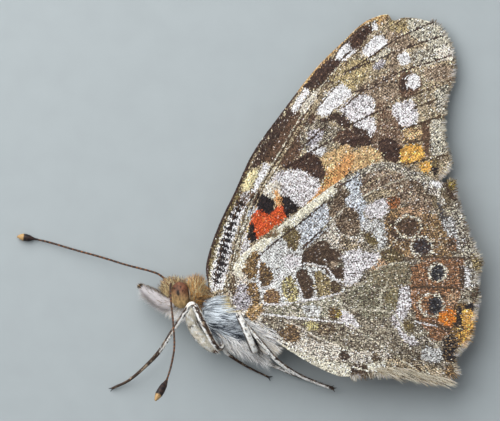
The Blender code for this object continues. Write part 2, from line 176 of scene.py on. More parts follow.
# Lumps, streaks along the wing's rays, and painted shade between rows and columns of scales, in the flecks
# and the brightness
LUMP_SIZE = 0.32
STREAK_SIZE = (0.13, 0.5)
ROW_APART = 0.102
COLUMN_APART = 0.085
ROW_SHADE_WARP = 2.0
FLECK_LUMPS = {"lumps": 0.2, "streaks": 0.3, "row_shade": 0.25}
BRIGHTNESS = {"streaks": 0.14, "row_shade": 0.25, "scales": 0.38}
# Thin lines: share of flecks and margin about each line
LINE_FLECKS = 0.14
LINE_MARGIN = 0.5
# Stray dark and stray white scales, for each fleck that a mark has of its own tone
PEPPER_SHARE = 0.85
SALT_SHARE = 0.42

# The grid that the wing marks are drawn on: squares of 0.09 mm, columns to the right and rows down
GRID = 0.09
GRID_COLUMN_0 = 233.0
GRID_ROW_0 = 325.0

# Tones of scales and hair, 0 to 255
TONES = {
    "white": (228, 224, 224), "chalk": (246, 244, 240), "lilac_white": (222, 216, 218),
    "lilac": (187, 182, 188), "ice": (200, 205, 212), "pale": (194, 187, 168),
    "fleece": (216, 206, 190), "cream": (224, 217, 196), "cream_yellow": (222, 206, 160),
    "dove": (212, 212, 209), "stone": (156, 147, 128), "sand": (172, 156, 128), "fawn": (168, 150, 110),
    "taupe": (152, 133, 112), "sage": (138, 134, 112), "olive": (146, 130, 92),
    "olive_dark": (112, 98, 66), "drab": (122, 108, 84), "tan": (176, 142, 96), "ochre": (206, 152, 98),
    "ochre_pale": (202, 168, 122), "ochre_dark": (134, 106, 66), "amber": (212, 160, 80),
    "orange": (208, 120, 40), "scarlet": (190, 78, 40), "sienna": (150, 92, 50), "rust": (146, 104, 72),
    "bronze": (156, 126, 88), "rust_pale": (184, 150, 118), "citron": (186, 174, 122),
    "citron_dark": (150, 130, 54), "brown": (98, 74, 58), "umber": (76, 60, 46), "dark": (60, 44, 38),
    "black": (32, 27, 29), "slate": (70, 72, 78), "blue_black": (42, 46, 54), "gold": (204, 150, 82),
    "silver": (216, 224, 230), "steel": (104, 112, 122),
}

# Outlines and veins of the wings in millimetres
FOREWING_EDGE = [
    (-1.0, 1.7), (-2.2, 2.6), (-2.3, 3.7), (-2.5, 5.1), (-2.1, 6.9), (-1.2, 9.3),
    (0.1, 12.0), (1.8, 15.6), (4.3, 19.1), (7.3, 23.0), (9.9, 25.6), (11.9, 27.4),
    (13.9, 28.1), (14.5, 27.5), (15.4, 27.8), (16.9, 27.7), (18.4, 27.4), (19.5, 26.2),
    (20.2, 23.9), (20.0, 21.9), (19.5, 20.4), (19.2, 18.0), (19.4, 16.2), (19.8, 14.9),
    (19.3, 13.5), (15.0, 10.8), (8.7, 6.8), (3.3, 3.3), (0.6, 2.0),
]
HINDWING_EDGE = [
    (0.1, 1.0), (-0.4, 2.6), (-0.4, 4.2), (0.3, 5.8), (1.3, 6.8), (4.0, 8.8),
    (7.3, 11.4), (9.7, 13.1), (11.4, 14.0), (13.5, 14.7), (15.3, 14.4), (17.3, 13.5),
    (19.0, 13.0), (20.1, 13.2), (20.3, 11.8), (20.8, 10.0), (21.6, 7.8), (22.6, 5.7),
    (22.2, 4.3), (22.3, 2.2), (21.9, 0.3), (21.5, -1.5), (20.2, -3.0), (20.5, -4.4),
    (19.2, -5.2), (17.3, -5.0), (13.9, -4.8), (10.3, -4.8), (7.6, -3.8), (4.9, -2.2),
    (2.6, -0.4), (1.2, 0.6),
]
FOREWING_VEINS = {
    "subcosta": [(-1.8, 3.7), (-0.8, 7.6), (1.2, 12.3), (4.0, 17.0), (6.5, 20.5), (9.2, 23.8),
        (12.0, 27.0)],
    "radius": [(-1.2, 3.2), (0.4, 9.0), (2.6, 13.0), (5.0, 16.6), (7.8, 20.5), (10.5, 23.7), (13.0, 26.0),
        (15.3, 27.2)],
    "radius_5": [(7.8, 20.5), (10.1, 22.5), (12.5, 24.3), (14.8, 25.6), (18.1, 26.8)],
    "media_1": [(8.1, 19.8), (10.1, 21.5), (12.9, 23.2), (15.5, 24.3), (19.3, 25.4)],
    "media_2": [(8.5, 19.2), (11.0, 20.4), (13.4, 21.6), (17.4, 23.0), (19.8, 23.7)],
    "media_3": [(8.3, 17.6), (11.0, 18.3), (12.7, 19.1), (15.9, 20.6), (19.6, 21.9)],
    "cubitus": [(-0.8, 3.0), (1.6, 8.4), (4.1, 13.4), (6.6, 16.4), (8.3, 17.6)],
    "cubitus_1": [(4.9, 14.5), (8.3, 15.9), (11.9, 16.9), (15.0, 17.6), (19.0, 18.9)],
    "cubitus_2": [(1.4, 8.0), (4.7, 10.2), (8.3, 13.3), (10.1, 14.5), (13.7, 15.8), (19.1, 16.8)],
    "anal": [(-0.5, 2.3), (5.1, 7.0), (10.5, 11.2), (15.9, 14.4), (19.4, 15.2)],
    "cell_end": [(7.8, 20.5), (8.5, 19.2), (8.3, 17.6)],
}
HINDWING_VEINS = {
    "subcosta": [(0.6, 1.7), (2.3, 3.7), (2.6, 6.6), (4.2, 8.3), (6.9, 10.3), (10.1, 12.2), (13.7, 13.5),
        (19.3, 12.4)],
    "radius": [(2.3, 3.7), (4.7, 5.7), (6.9, 7.4), (9.2, 9.5), (12.5, 11.4), (16.4, 11.9), (20.1, 11.0)],
    "media_1": [(4.7, 5.7), (6.3, 5.9), (8.3, 6.8), (11.0, 8.1), (15.0, 9.3), (20.4, 9.6)],
    "media_2": [(8.3, 5.3), (11.4, 6.4), (14.6, 7.2), (17.7, 7.6), (21.2, 7.6)],
    "media_3": [(6.3, 5.9), (8.3, 5.3), (10.1, 4.2), (12.8, 4.9), (15.5, 5.5), (18.6, 5.8), (22.2, 5.5)],
    "cubitus_1": [(9.8, 3.1), (11.9, 3.4), (15.0, 3.3), (17.7, 3.3), (20.4, 3.1), (22.1, 2.9)],
    "cubitus_2": [(1.6, 1.6), (2.6, 1.9), (6.0, 2.2), (8.7, 2.7), (9.8, 3.1), (12.8, 2.1), (15.9, 0.9),
        (18.2, 0.3), (21.5, -0.2)],
    "anal_1": [(1.4, 1.2), (2.6, 1.0), (6.0, 0.6), (9.6, 0.3), (12.8, -0.4), (15.9, -1.6), (19.7, -3.1)],
    "anal_2": [(1.4, 0.8), (3.3, 0.1), (6.5, -0.9), (10.5, -2.4), (15.0, -3.7), (18.6, -4.6)],
    "cell_end": [(8.3, 5.3), (10.1, 4.2), (9.8, 3.1)],
}

# Legs and feelers: x, y, z and radius of each point along the limb
LIMBS = {
    "midleg_left": [
        (-0.8, -1.3, 3.2, 0.5), (-1.15, -2.1, 4.2, 0.52), (-1.7, -1.6, 5.0, 0.5), (-2.6, 0.1, 5.35, 0.52),
        (-3.6, 1.9, 5.2, 0.4), (-4.4, 1.0, 4.7, 0.32), (-5.4, -0.5, 3.95, 0.3), (-6.6, -2.35, 2.95, 0.29),
        (-7.9, -3.75, 1.85, 0.26), (-9.4, -5.05, 0.8, 0.25), (-10.9, -5.8, 0.2, 0.24),
    ],
    "midleg_right": [
        (-0.9, -1.2, 1.5, 0.45), (-0.8, -2.3, 1.2, 0.42), (-0.1, -2.95, 1.0, 0.34),
        (1.3, -3.85, 0.65, 0.28), (3.2, -4.8, 0.2, 0.24),
    ],
    "hindleg_left": [
        (1.3, -1.2, 3.2, 0.5), (1.9, -2.2, 4.3, 0.5), (1.6, -1.5, 5.1, 0.48), (1.0, 0.0, 5.6, 0.5),
        (0.5, 1.0, 5.75, 0.4), (1.1, 0.2, 5.35, 0.3), (2.6, -1.6, 5.0, 0.3), (4.0, -3.2, 4.0, 0.28),
        (5.7, -4.4, 2.7, 0.26), (7.4, -5.2, 1.7, 0.25), (9.0, -5.8, 0.95, 0.24),
    ],
    "hindleg_right": [
        (0.6, -1.6, 1.3, 0.48), (1.7, -2.9, 1.3, 0.42), (3.6, -3.7, 1.25, 0.34), (5.4, -4.5, 0.8, 0.28),
        (7.2, -5.2, 0.4, 0.26), (8.8, -5.7, 0.2, 0.24),
    ],
    "foreleg_left": [
        (-3.5, 1.9, 3.2, 0.45), (-3.75, 1.0, 3.45, 0.5), (-3.7, 0.2, 3.5, 0.5), (-3.3, -0.6, 3.5, 0.5),
        (-2.7, -1.35, 3.45, 0.52), (-2.05, -1.95, 3.35, 0.46), (-1.45, -2.35, 3.2, 0.28),
    ],
    "foreleg_right": [
        (-3.5, 1.9, 1.4, 0.4), (-3.8, 1.0, 1.0, 0.42), (-3.8, 0.2, 0.9, 0.42), (-3.4, -0.6, 0.9, 0.42),
        (-2.8, -1.35, 0.9, 0.4), (-2.2, -1.95, 0.9, 0.34),
    ],
    "antenna_left": [
        (-5.6, 3.7, 2.9, 0.27), (-5.62, 3.6, 3.7, 0.27), (-5.6, 2.9, 4.6, 0.25), (-5.5, 1.8, 5.4, 0.25),
        (-5.3, 0.0, 6.6, 0.25), (-5.2, -1.8, 7.9, 0.25), (-5.45, -3.4, 9.1, 0.25), (-5.8, -4.6, 10.0, 0.27),
        (-6.1, -5.2, 10.5, 0.36), (-6.5, -5.9, 11.0, 0.4), (-6.8, -6.4, 11.35, 0.27),
    ],
    "antenna_right": [
        (-5.7, 3.6, 1.8, 0.27), (-6.5, 4.4, 1.75, 0.27), (-7.4, 4.8, 1.6, 0.25), (-9.7, 5.4, 1.3, 0.25),
        (-12.0, 6.1, 0.95, 0.25), (-14.2, 6.7, 0.65, 0.25), (-16.6, 7.4, 0.42, 0.25),
        (-17.9, 7.7, 0.34, 0.28),
        (-18.5, 7.8, 0.34, 0.36), (-19.1, 7.9, 0.33, 0.38), (-19.5, 7.95, 0.3, 0.24),
    ],
}
# Shares of a leg's radius at shares of its length, and how many scales it has
LEG_SLIMS = {
    "midleg_left": (((0, 0.12, 0.3, 0.42, 0.7, 1), (0.45, 0.5, 0.6, 0.68, 0.66, 0.45)), 5200),
    "midleg_right": (((0, 1), (0.5, 0.3)), 1800),
    "hindleg_left": (((0, 0.3, 0.4, 0.6, 1), (0.7, 0.68, 0.6, 0.75, 0.6)), 6000),
    "hindleg_right": (((0, 1), (0.6, 0.45)), 2400),
    "foreleg_left": (((0, 0.4, 1), (0.9, 1.05, 0.9)), 3000),
    "foreleg_right": (((0, 1), (0.85, 0.85)), 2000),
}
# Shares of the solids' radius for a feeler's club and shaft
CLUB_SLIM = 0.82
SHAFT_SLIM = 0.36
# Points around a limb, its thinnest radius, and how far its ends bulge, in shares of the radius
LIMB_AROUND = 14
THINNEST = 0.03
START_BULGE = 0.6
END_BULGE = 0.9
# Scales and hairs on limbs: count, length, width and lift in degrees
COATS = {
    "feeler": (900, 0.12, 0.05, 8.0), "foreleg": (150, 0.4, 0.03, 32.0), "spines": (46, 0.28, 0.03, 42.0),
    "palp": (2600, 0.5, 0.035, 26.0),
}
LEG_SCALE = (0.13, 0.05, 6.0)
SPINE_SPAN = (0.35, 0.98)
# Length, width, lift and droop of a claw
CLAW_SHAPE = (0.42, 0.09, 0.1, 0.3)
# Mouth feelers: x, y and radius, share of the radius, and height for their width
PALP_PATH = ((-5.4, 1.8, 0.75), (-6.4, 2.1, 0.8), (-7.25, 2.7, 0.62), (-7.8, 3.05, 0.34), (-8.2, 3.35, 0.1))
PALP_SLIM = ((0, 1), (0.72, 0.72))
PALP_FLAT = 0.6
BEARD_HAIRS = 900

# Patches of loose hair: outline on the grid, what they lie on and how far above it, count, length and width,
# way that they lie, spread, most lift in degrees, tones, slot and seed
LOOSE_HAIR = {
    "hindwing_root_hair": (
        [(231, 300), (246, 312), (260, 320), (272, 331), (274, 340), (262, 341), (248, 332), (235, 318)],
        "hindwing", 0.05, 420, (1.0, 0.03), (0.9, -0.45), 0.16, 8.0,
        {"chalk": 0.5, "fleece": 0.1, "lilac_white": 0.1, "steel": 0.15, "umber": 0.15},
        "pale_hair", 301),
    "hindwing_lower_hair": (
        [(256, 334), (268, 339), (276, 345), (272, 351), (262, 350), (254, 343)],
        "hindwing", -0.25, 500, (0.8, 0.032), (0.8, -0.6), 0.18, 8.0,
        {"chalk": 0.55, "fleece": 0.45}, "pale_hair", 302),
    "belly_hair": (
        [(214, 330), (228, 334), (242, 338), (256, 344), (264, 354), (262, 361), (248, 355), (234, 348),
         (222, 342)],
        "belly", 0.0, 1400, (1.2, 0.026), (0.7, -0.72), 0.2, 12.0,
        {"chalk": 0.66, "fleece": 0.06, "lilac_white": 0.06, "steel": 0.1, "umber": 0.12},
        "thorax_coat", 303),
    "hindwing_brush": (
        [(368, 366), (400, 366), (430, 372), (450, 379), (440, 384), (415, 380), (390, 375)],
        "hindwing", 0.05, 700, (1.1, 0.03), (0.9, -0.42), 0.14, 7.0,
        {"cream": 0.35, "fleece": 0.15, "sand": 0.3, "umber": 0.2}, "hindwing_surface", 304),
    # Dark hair between thigh and shin, which also stands in for the painted shade in that gap
    "thigh_dark_hair_and_shade": (
        [(242, 322), (247, 324), (262, 348), (258, 354), (252, 345)],
        "belly", 0.6, 420, (0.6, 0.035), (0.5, -0.85), 0.1, 8.0,
        {"black": 0.4, "slate": 0.25, "umber": 0.2, "fleece": 0.15}, "thorax_coat", 306),
    "face_hair": (
        [(158, 296), (172, 303), (186, 305), (193, 312), (184, 315), (170, 309)],
        "belly", 0.0, 700, (0.95, 0.03), (-0.55, -0.8), 0.25, 25.0,
        {"chalk": 0.55, "fleece": 0.2, "lilac_white": 0.2, "steel": 0.05}, "pale_hair", 305),
}

# Marks of the forewing's underside in the order they are laid down: tone, tone of its flecks, share of
# flecks and the outline on the grid
FOREWING_MARKS = [
    ("sand", "umber", 0.28, [(200, 300), (205, 230), (260, 120), (330, 40), (385, 8), (450, 15), (465, 60),
        (452, 120), (460, 180), (300, 240), (240, 305)]),
    ("fawn", "umber", 0.2, [(330, 66), (352, 60), (368, 58), (372, 66), (366, 80), (352, 90), (338, 88),
        (328, 80)]),
    ("taupe", "umber", 0.3, [(352, 92), (362, 86), (376, 80), (386, 72), (392, 60), (388, 50), (384, 38),
        (388, 30), (400, 30), (412, 36), (416, 44), (404, 48), (400, 62), (398, 76), (404, 92), (396, 100),
        (388, 112), (376, 112), (372, 98)]),
    ("pale", "black", 0.24, [(408, 20), (416, 16), (428, 18), (445, 26), (452, 36), (456, 48), (456, 60),
        (440, 58), (430, 46), (420, 40), (410, 34)]),
    ("fleece", "umber", 0.12, [(428, 52), (444, 44), (456, 48), (457, 58), (444, 60), (432, 58)]),
    ("pale", "umber", 0.375, [(414, 50), (430, 46), (440, 58), (428, 66), (416, 66), (410, 58)]),
    ("taupe", "umber", 0.25, [(424, 68), (440, 64), (456, 66), (456, 78), (440, 82), (426, 80)]),
    ("pale", "black", 0.3, [(436, 90), (447, 84), (452, 92), (451, 104), (446, 114), (438, 112),
        (434, 102)]),
    ("sand", "umber", 0.35, [(418, 92), (434, 88), (436, 104), (434, 116), (424, 120), (418, 112)]),
    ("pale", "black", 0.225, [(430, 120), (440, 118), (448, 122), (446, 140), (449, 152), (440, 156),
        (432, 156), (430, 140)]),
    ("ochre_pale", "umber", 0.3, [(402, 128), (412, 127), (421, 128), (422, 138), (414, 142), (404, 144),
        (399, 138)]),
    ("brown", "umber", 0.3, [(421, 122), (429, 122), (430, 140), (430, 156), (425, 158), (423, 146)]),
    ("olive_dark", "dark", 0.3, [(204, 292), (203, 262), (210, 232), (224, 206), (236, 186), (247, 168),
        (253, 173), (245, 192), (234, 212), (222, 234), (214, 258), (210, 292)]),
    ("cream", "umber", 0.05, [(209, 292), (212, 266), (217, 248), (223, 230), (229, 216), (233, 217),
        (227, 231), (221, 248), (217, 268), (214, 290)]),
    ("white", "umber", 0.05, [(211, 292), (214.5, 262), (221, 240), (230, 216), (238, 202), (246, 203),
        (243, 214), (237, 230), (232, 248), (228, 268), (223, 290)]),
    ("brown", "white", 0.45, [(236, 206), (240, 196), (246, 188), (251, 191), (250, 198), (246, 207),
        (241, 212)]),
    ("pale", "olive_dark", 0.4, [(225, 290), (230, 264), (236, 242), (243, 222), (250, 206), (256, 196),
        (262, 192), (258, 202), (252, 214), (247, 228), (241, 246), (236, 262), (232, 276)]),
    ("cream_yellow", "umber", 0.06, [(240, 192), (244, 182), (249, 172), (253, 169), (259, 170),
        (256, 178), (252, 186), (248, 192)]),
    ("brown", "umber", 0.3, [(250, 196), (254, 188), (258, 190), (262, 192), (257, 200), (253, 208),
        (250, 206)]),
    ("white", "umber", 0.05, [(251, 191), (256, 181), (261, 170), (265, 163), (270, 166), (266, 175),
        (260, 184), (256, 193)]),
    ("fleece", "umber", 0.15, [(260, 192), (266, 181), (272, 170), (279, 165), (277, 172), (270, 182),
        (264, 193)]),
    ("white", "umber", 0.12, [(240, 250), (243, 238), (246, 226), (250, 222), (249, 232), (250, 242),
        (248, 254), (242, 258)]),
    ("ice", "umber", 0.05, [(246, 217), (250, 210), (254, 207), (257, 209), (253, 214), (249, 221)]),
    ("brown", "umber", 0.35, [(254, 168), (258, 156), (266, 142), (278, 124), (290, 110), (300, 112),
        (306, 126), (304, 142), (300, 154), (292, 162), (283, 167), (272, 164), (262, 162)]),
    ("dark", "umber", 0.3, [(250, 168), (256, 156), (266, 140), (278, 122), (291, 107), (297, 110),
        (288, 122), (276, 140), (266, 156), (259, 167)]),
    ("stone", "umber", 0.4, [(300, 130), (308, 118), (318, 121), (328, 122), (338, 127), (346, 132),
        (338, 140), (328, 148), (320, 156), (308, 152), (300, 144)]),
    ("lilac", "umber", 0.3, [(308, 134), (316, 128), (324, 130), (322, 140), (314, 148), (306, 146)]),
    ("white", "umber", 0.2, [(306, 152), (314, 145), (322, 146), (328, 150), (321, 157), (314, 154)]),
    ("brown", "dark", 0.3, [(302, 116), (308, 104), (312, 110), (317, 117), (312, 124), (305, 122)]),
    ("dark", "umber", 0.25, [(316, 120), (326, 117), (335, 112), (344, 115), (350, 122), (348, 129),
        (340, 126), (334, 119), (324, 122)]),
    ("brown", "dark", 0.35, [(338, 132), (347, 128), (354, 132), (348, 140), (340, 144), (332, 142)]),
    ("dark", "brown", 0.2, [(351, 126), (357, 125), (365, 129), (370, 137), (373, 145), (364, 147),
        (354, 146), (346, 148), (338, 146), (346, 139), (354, 133)]),
    ("brown", "taupe", 0.4, [(376, 100), (386, 104), (392, 112), (399, 120), (402, 130), (384, 130),
        (378, 120), (377, 110)]),
    ("brown", "taupe", 0.4, [(374, 128), (380, 118), (390, 118), (398, 125), (403, 134), (402, 148),
        (402, 158), (396, 162), (385, 160), (379, 153), (374, 146), (370, 138)]),
    ("dark", "brown", 0.15, [(378, 142), (386, 137), (396, 140), (402, 148), (402, 160), (395, 164),
        (386, 161), (380, 153)]),
    ("ochre_pale", "ochre_dark", 0.16, [(321, 158), (329, 152), (338, 148), (348, 144), (354, 148),
        (347, 156), (339, 162), (331, 171), (325, 172), (322, 166)]),
    ("ochre_pale", "ochre_dark", 0.16, [(354, 150), (364, 147), (372, 147), (379, 152), (384, 157),
        (376, 162), (366, 167), (355, 172), (349, 170), (346, 160)]),
    ("ochre", "umber", 0.06, [(350, 152), (355, 156), (352, 166), (346, 176), (338, 184), (328, 190),
        (318, 197), (308, 205), (302, 207), (314, 193), (322, 186), (326, 178), (332, 172), (340, 162)]),
    ("ochre", "ochre_dark", 0.3, [(326, 172), (331, 171), (340, 161), (350, 151), (352, 153), (342, 164),
        (334, 173), (329, 183), (323, 191), (321, 186)]),
    ("dark", "brown", 0.2, [(279, 169), (288, 164), (298, 158), (308, 152), (317, 155), (322, 163),
        (326, 172), (322, 180), (313, 177), (303, 171), (292, 169)]),
    ("lilac_white", "umber", 0.2, [(262, 192), (268, 184), (275, 175), (282, 171), (292, 169), (300, 170),
        (308, 174), (316, 179), (321, 184), (319, 192), (311, 200), (301, 208), (292, 204), (286, 197),
        (278, 194), (271, 198), (265, 196)]),
    ("fleece", "umber", 0.06, [(262, 192), (268, 185), (275, 180), (281, 184), (281, 192), (276, 198),
        (270, 199), (265, 196)]),
    ("ochre", "sienna", 0.15, [(273, 190), (278, 190), (281, 198), (283, 207), (281, 212), (276, 210),
        (275, 200)]),
    ("scarlet", "orange", 0.05, [(250, 219), (255, 211), (261, 210), (268, 214), (274, 209), (280, 206),
        (284, 211), (288, 217), (281, 222), (272, 229), (262, 237), (255, 241), (252, 232), (249, 225)]),
    ("black", "dark", 0.2, [(254, 206), (257, 198), (261, 193), (266, 196), (271, 199), (274, 205),
        (274, 211), (269, 215), (263, 213), (258, 210)]),
    ("black", "dark", 0.2, [(281, 197), (288, 196), (293, 202), (301, 208), (294, 213), (287, 218),
        (283, 210), (281, 203)]),
    ("umber", "ochre", 0.2, [(246, 232), (247, 226), (250, 224), (251, 236), (251, 244), (247, 240)]),
    ("black", "umber", 0.1, [(249, 224), (252, 223), (255, 232), (256, 241), (252, 245), (249, 240)]),
    ("white", "umber", 0.04, [(291, 109), (297, 98), (304, 89), (310, 88), (306, 98), (300, 106),
        (295, 113)]),
    ("fleece", "umber", 0.1, [(298, 112), (304, 102), (311, 92), (320, 89), (316, 98), (310, 107),
        (304, 115)]),
    ("white", "umber", 0.05, [(316, 113), (320, 104), (327, 95), (335, 87), (343, 83), (350, 90),
        (354, 94), (346, 100), (338, 107), (332, 112), (326, 116)]),
    ("lilac_white", "umber", 0.195, [(338, 110), (347, 102), (354, 96), (361, 94), (369, 95), (374, 100),
        (375, 109), (372, 114), (363, 118), (356, 122), (350, 121), (345, 115)]),
    ("lilac_white", "umber", 0.195, [(351, 124), (358, 120), (366, 117), (373, 116), (376, 124),
        (376, 131), (371, 138), (366, 131), (359, 127)]),
    ("dark", "brown", 0.2, [(303, 87), (311, 75), (321, 63), (330, 57), (338, 60), (345, 60), (340, 67),
        (330, 77), (322, 87), (314, 89), (306, 89)]),
    ("dark", "brown", 0.2, [(346, 44), (350, 35), (357, 29), (365, 25), (371, 24), (374, 29), (368, 37),
        (362, 43), (357, 49), (350, 47)]),
    ("white", "umber", 0.04, [(334, 59), (338, 50), (343, 43), (347, 43), (352, 47), (358, 50), (352, 55),
        (346, 60), (340, 61)]),
    ("white", "umber", 0.05, [(372, 23), (376, 21), (379, 26), (377, 30), (373, 29)]),
    ("tan", "umber", 0.3, [(371, 22), (376, 16), (383, 13), (390, 14), (389, 19), (381, 25), (377, 23),
        (373, 20)]),
    ("fawn", "umber", 0.25, [(390, 20), (400, 18), (408, 20), (409, 30), (400, 32), (390, 30)]),
    ("white", "umber", 0.06, [(361, 53), (367, 43), (375, 35), (383, 35), (388, 41), (386, 47), (377, 51),
        (370, 57)]),
    ("pale", "umber", 0.12, [(371, 60), (378, 54), (386, 48), (391, 48), (391, 52), (384, 57), (377, 61)]),
    ("lilac", "umber", 0.3, [(373, 65), (380, 60), (387, 60), (384, 67), (378, 71), (373, 69)]),
    ("brown", "umber", 0.3, [(402, 72), (410, 71), (420, 76), (422, 84), (420, 92), (410, 97), (402, 98),
        (398, 88), (399, 78)]),
    ("dark", "umber", 0.2, [(405, 75), (409, 76), (407, 83), (409, 90), (404, 92), (400, 86), (401, 79)]),
    ("lilac_white", "umber", 0.18, [(391, 109), (398, 103), (406, 100), (413, 101), (417, 107), (418, 116),
        (416, 123), (411, 127), (405, 127), (400, 126), (398, 119), (393, 115)]),
    ("amber", "umber", 0.12, [(400, 152), (403, 147), (410, 144), (418, 144), (424, 149), (425, 156),
        (423, 161), (416, 163), (408, 165), (401, 163)]),
    ("amber", "umber", 0.1, [(419, 164), (424, 161), (431, 162), (433, 168), (430, 172), (423, 172),
        (419, 169)]),
    ("black", "umber", 0.3, [(431, 166), (435, 165), (438, 170), (437, 176), (433, 175), (431, 171)]),
    ("olive_dark", "umber", 0.3, [(432, 160), (438, 159), (440, 164), (436, 168), (431, 165)]),
]
# Round white spots: share of flecks, centre and half-widths
WHITE_SPOTS = [(0.06, (404.5, 58), 6.2, 6), (0.08, (413.5, 81.5), 7, 8)]
# Short dark bars along the leading edge near the root: centre and half-widths
LADDER_BARS = [
    ((240.5, 204), 4, 1.5), ((237.5, 210.5), 4.4, 1.7), ((234.5, 217), 4.6, 1.7),
    ((231.5, 223.4), 4.6, 1.8), ((229.9, 229.2), 4.9, 1.8), ((228.4, 235), 5.1, 1.8),
    ((227, 240.8), 5.2, 1.8), ((225.5, 246.6), 5.2, 1.8), ((224, 252.4), 5.2, 1.8),
    ((222.6, 258.2), 5.2, 1.8), ((221.2, 264), 5.2, 1.8), ((219.7, 269.8), 5, 1.8),
    ((218.2, 275.6), 4.8, 1.8), ((216.6, 281.2), 4.2, 1.7),
]
# How much wider and higher the bars stand than they measure, and their turn in radians
LADDER_GROWTH = (1.2, 1.35)
LADDER_TURN = 0.3
# Thin lines: tone, half-width in millimetres and the points on the grid
FOREWING_LINES = [
    ("sand", 0.06, [(232, 290), (237, 262), (245, 236), (252, 214), (262, 192), (272, 172), (284, 150),
        (297, 130), (309, 112), (322, 93), (336, 76), (350, 58), (366, 42), (388, 27), (404, 17)]),
    ("pale", 0.06, [(226, 290), (231, 262), (240, 232), (250, 206), (258, 190), (270, 168), (282, 148),
        (294, 128), (306, 108), (318, 90), (330, 76), (344, 60)]),
    ("sand", 0.05, [(268, 180), (278, 164), (290, 144), (303, 124), (316, 106), (330, 88), (342, 74)]),
    ("dark", 0.17, [(208, 290), (207, 276), (207, 266), (211, 248), (221, 222), (235, 192), (254, 152),
        (281, 114), (298, 91)]),
    ("tan", 0.16, [(298, 91), (315, 70), (344, 41), (366, 21), (387, 13.5)]),
    ("umber", 0.05, [(214, 290), (217, 268), (221.5, 248), (227.5, 232), (234, 217), (241, 204),
        (248, 194)]),
    ("umber", 0.06, [(226.5, 288), (230, 268), (234, 250), (240, 230), (246, 213), (254, 195)]),
    ("umber", 0.05, [(229, 290), (234, 262), (243, 234), (252, 208), (260, 190), (272, 168), (290, 138),
        (305, 114), (320, 95), (333, 79), (348, 62), (362, 47), (380, 32), (402, 20)]),
    ("umber", 0.05, [(262, 190), (275, 172), (282, 160), (296, 138), (310, 118), (326, 98), (339, 83)]),
    ("dark", 0.08, [(345, 73), (370, 57), (393, 41), (410, 32), (438, 20)]),
    ("dark", 0.08, [(350, 70), (375, 60), (395, 52), (420, 43), (450, 33)]),
    ("dark", 0.08, [(352, 92), (370, 89), (385, 80), (400, 72), (420, 65), (455, 54)]),
    ("umber", 0.08, [(372, 84), (384, 78), (396, 72)]),
    ("umber", 0.08, [(400, 100), (412, 96), (432, 87), (454, 79)]),
    ("umber", 0.08, [(414, 108), (425, 104), (438, 99)]),
    ("dark", 0.08, [(349, 126), (362, 119), (374, 113), (390, 107)]),
    ("umber", 0.1, [(400, 129), (413, 126), (425, 122), (448, 114)]),
    ("umber", 0.1, [(402, 144), (412, 142), (430, 140)]),
    ("umber", 0.09, [(404, 165), (418, 162), (430, 159), (448, 155)]),
    ("dark", 0.08, [(296, 152), (312, 138), (326, 126)]),
    ("dark", 0.08, [(298, 160), (320, 147), (338, 138), (352, 132)]),
    ("umber", 0.08, [(343, 108), (352, 100), (364, 91)]),
    ("umber", 0.05, [(297, 112), (304, 102), (314, 91), (330, 72)]),
    ("dark", 0.08, [(338, 62), (346, 55), (354, 49)]),
    ("umber", 0.07, [(334, 58), (340, 48), (350, 37), (362, 27)]),
]

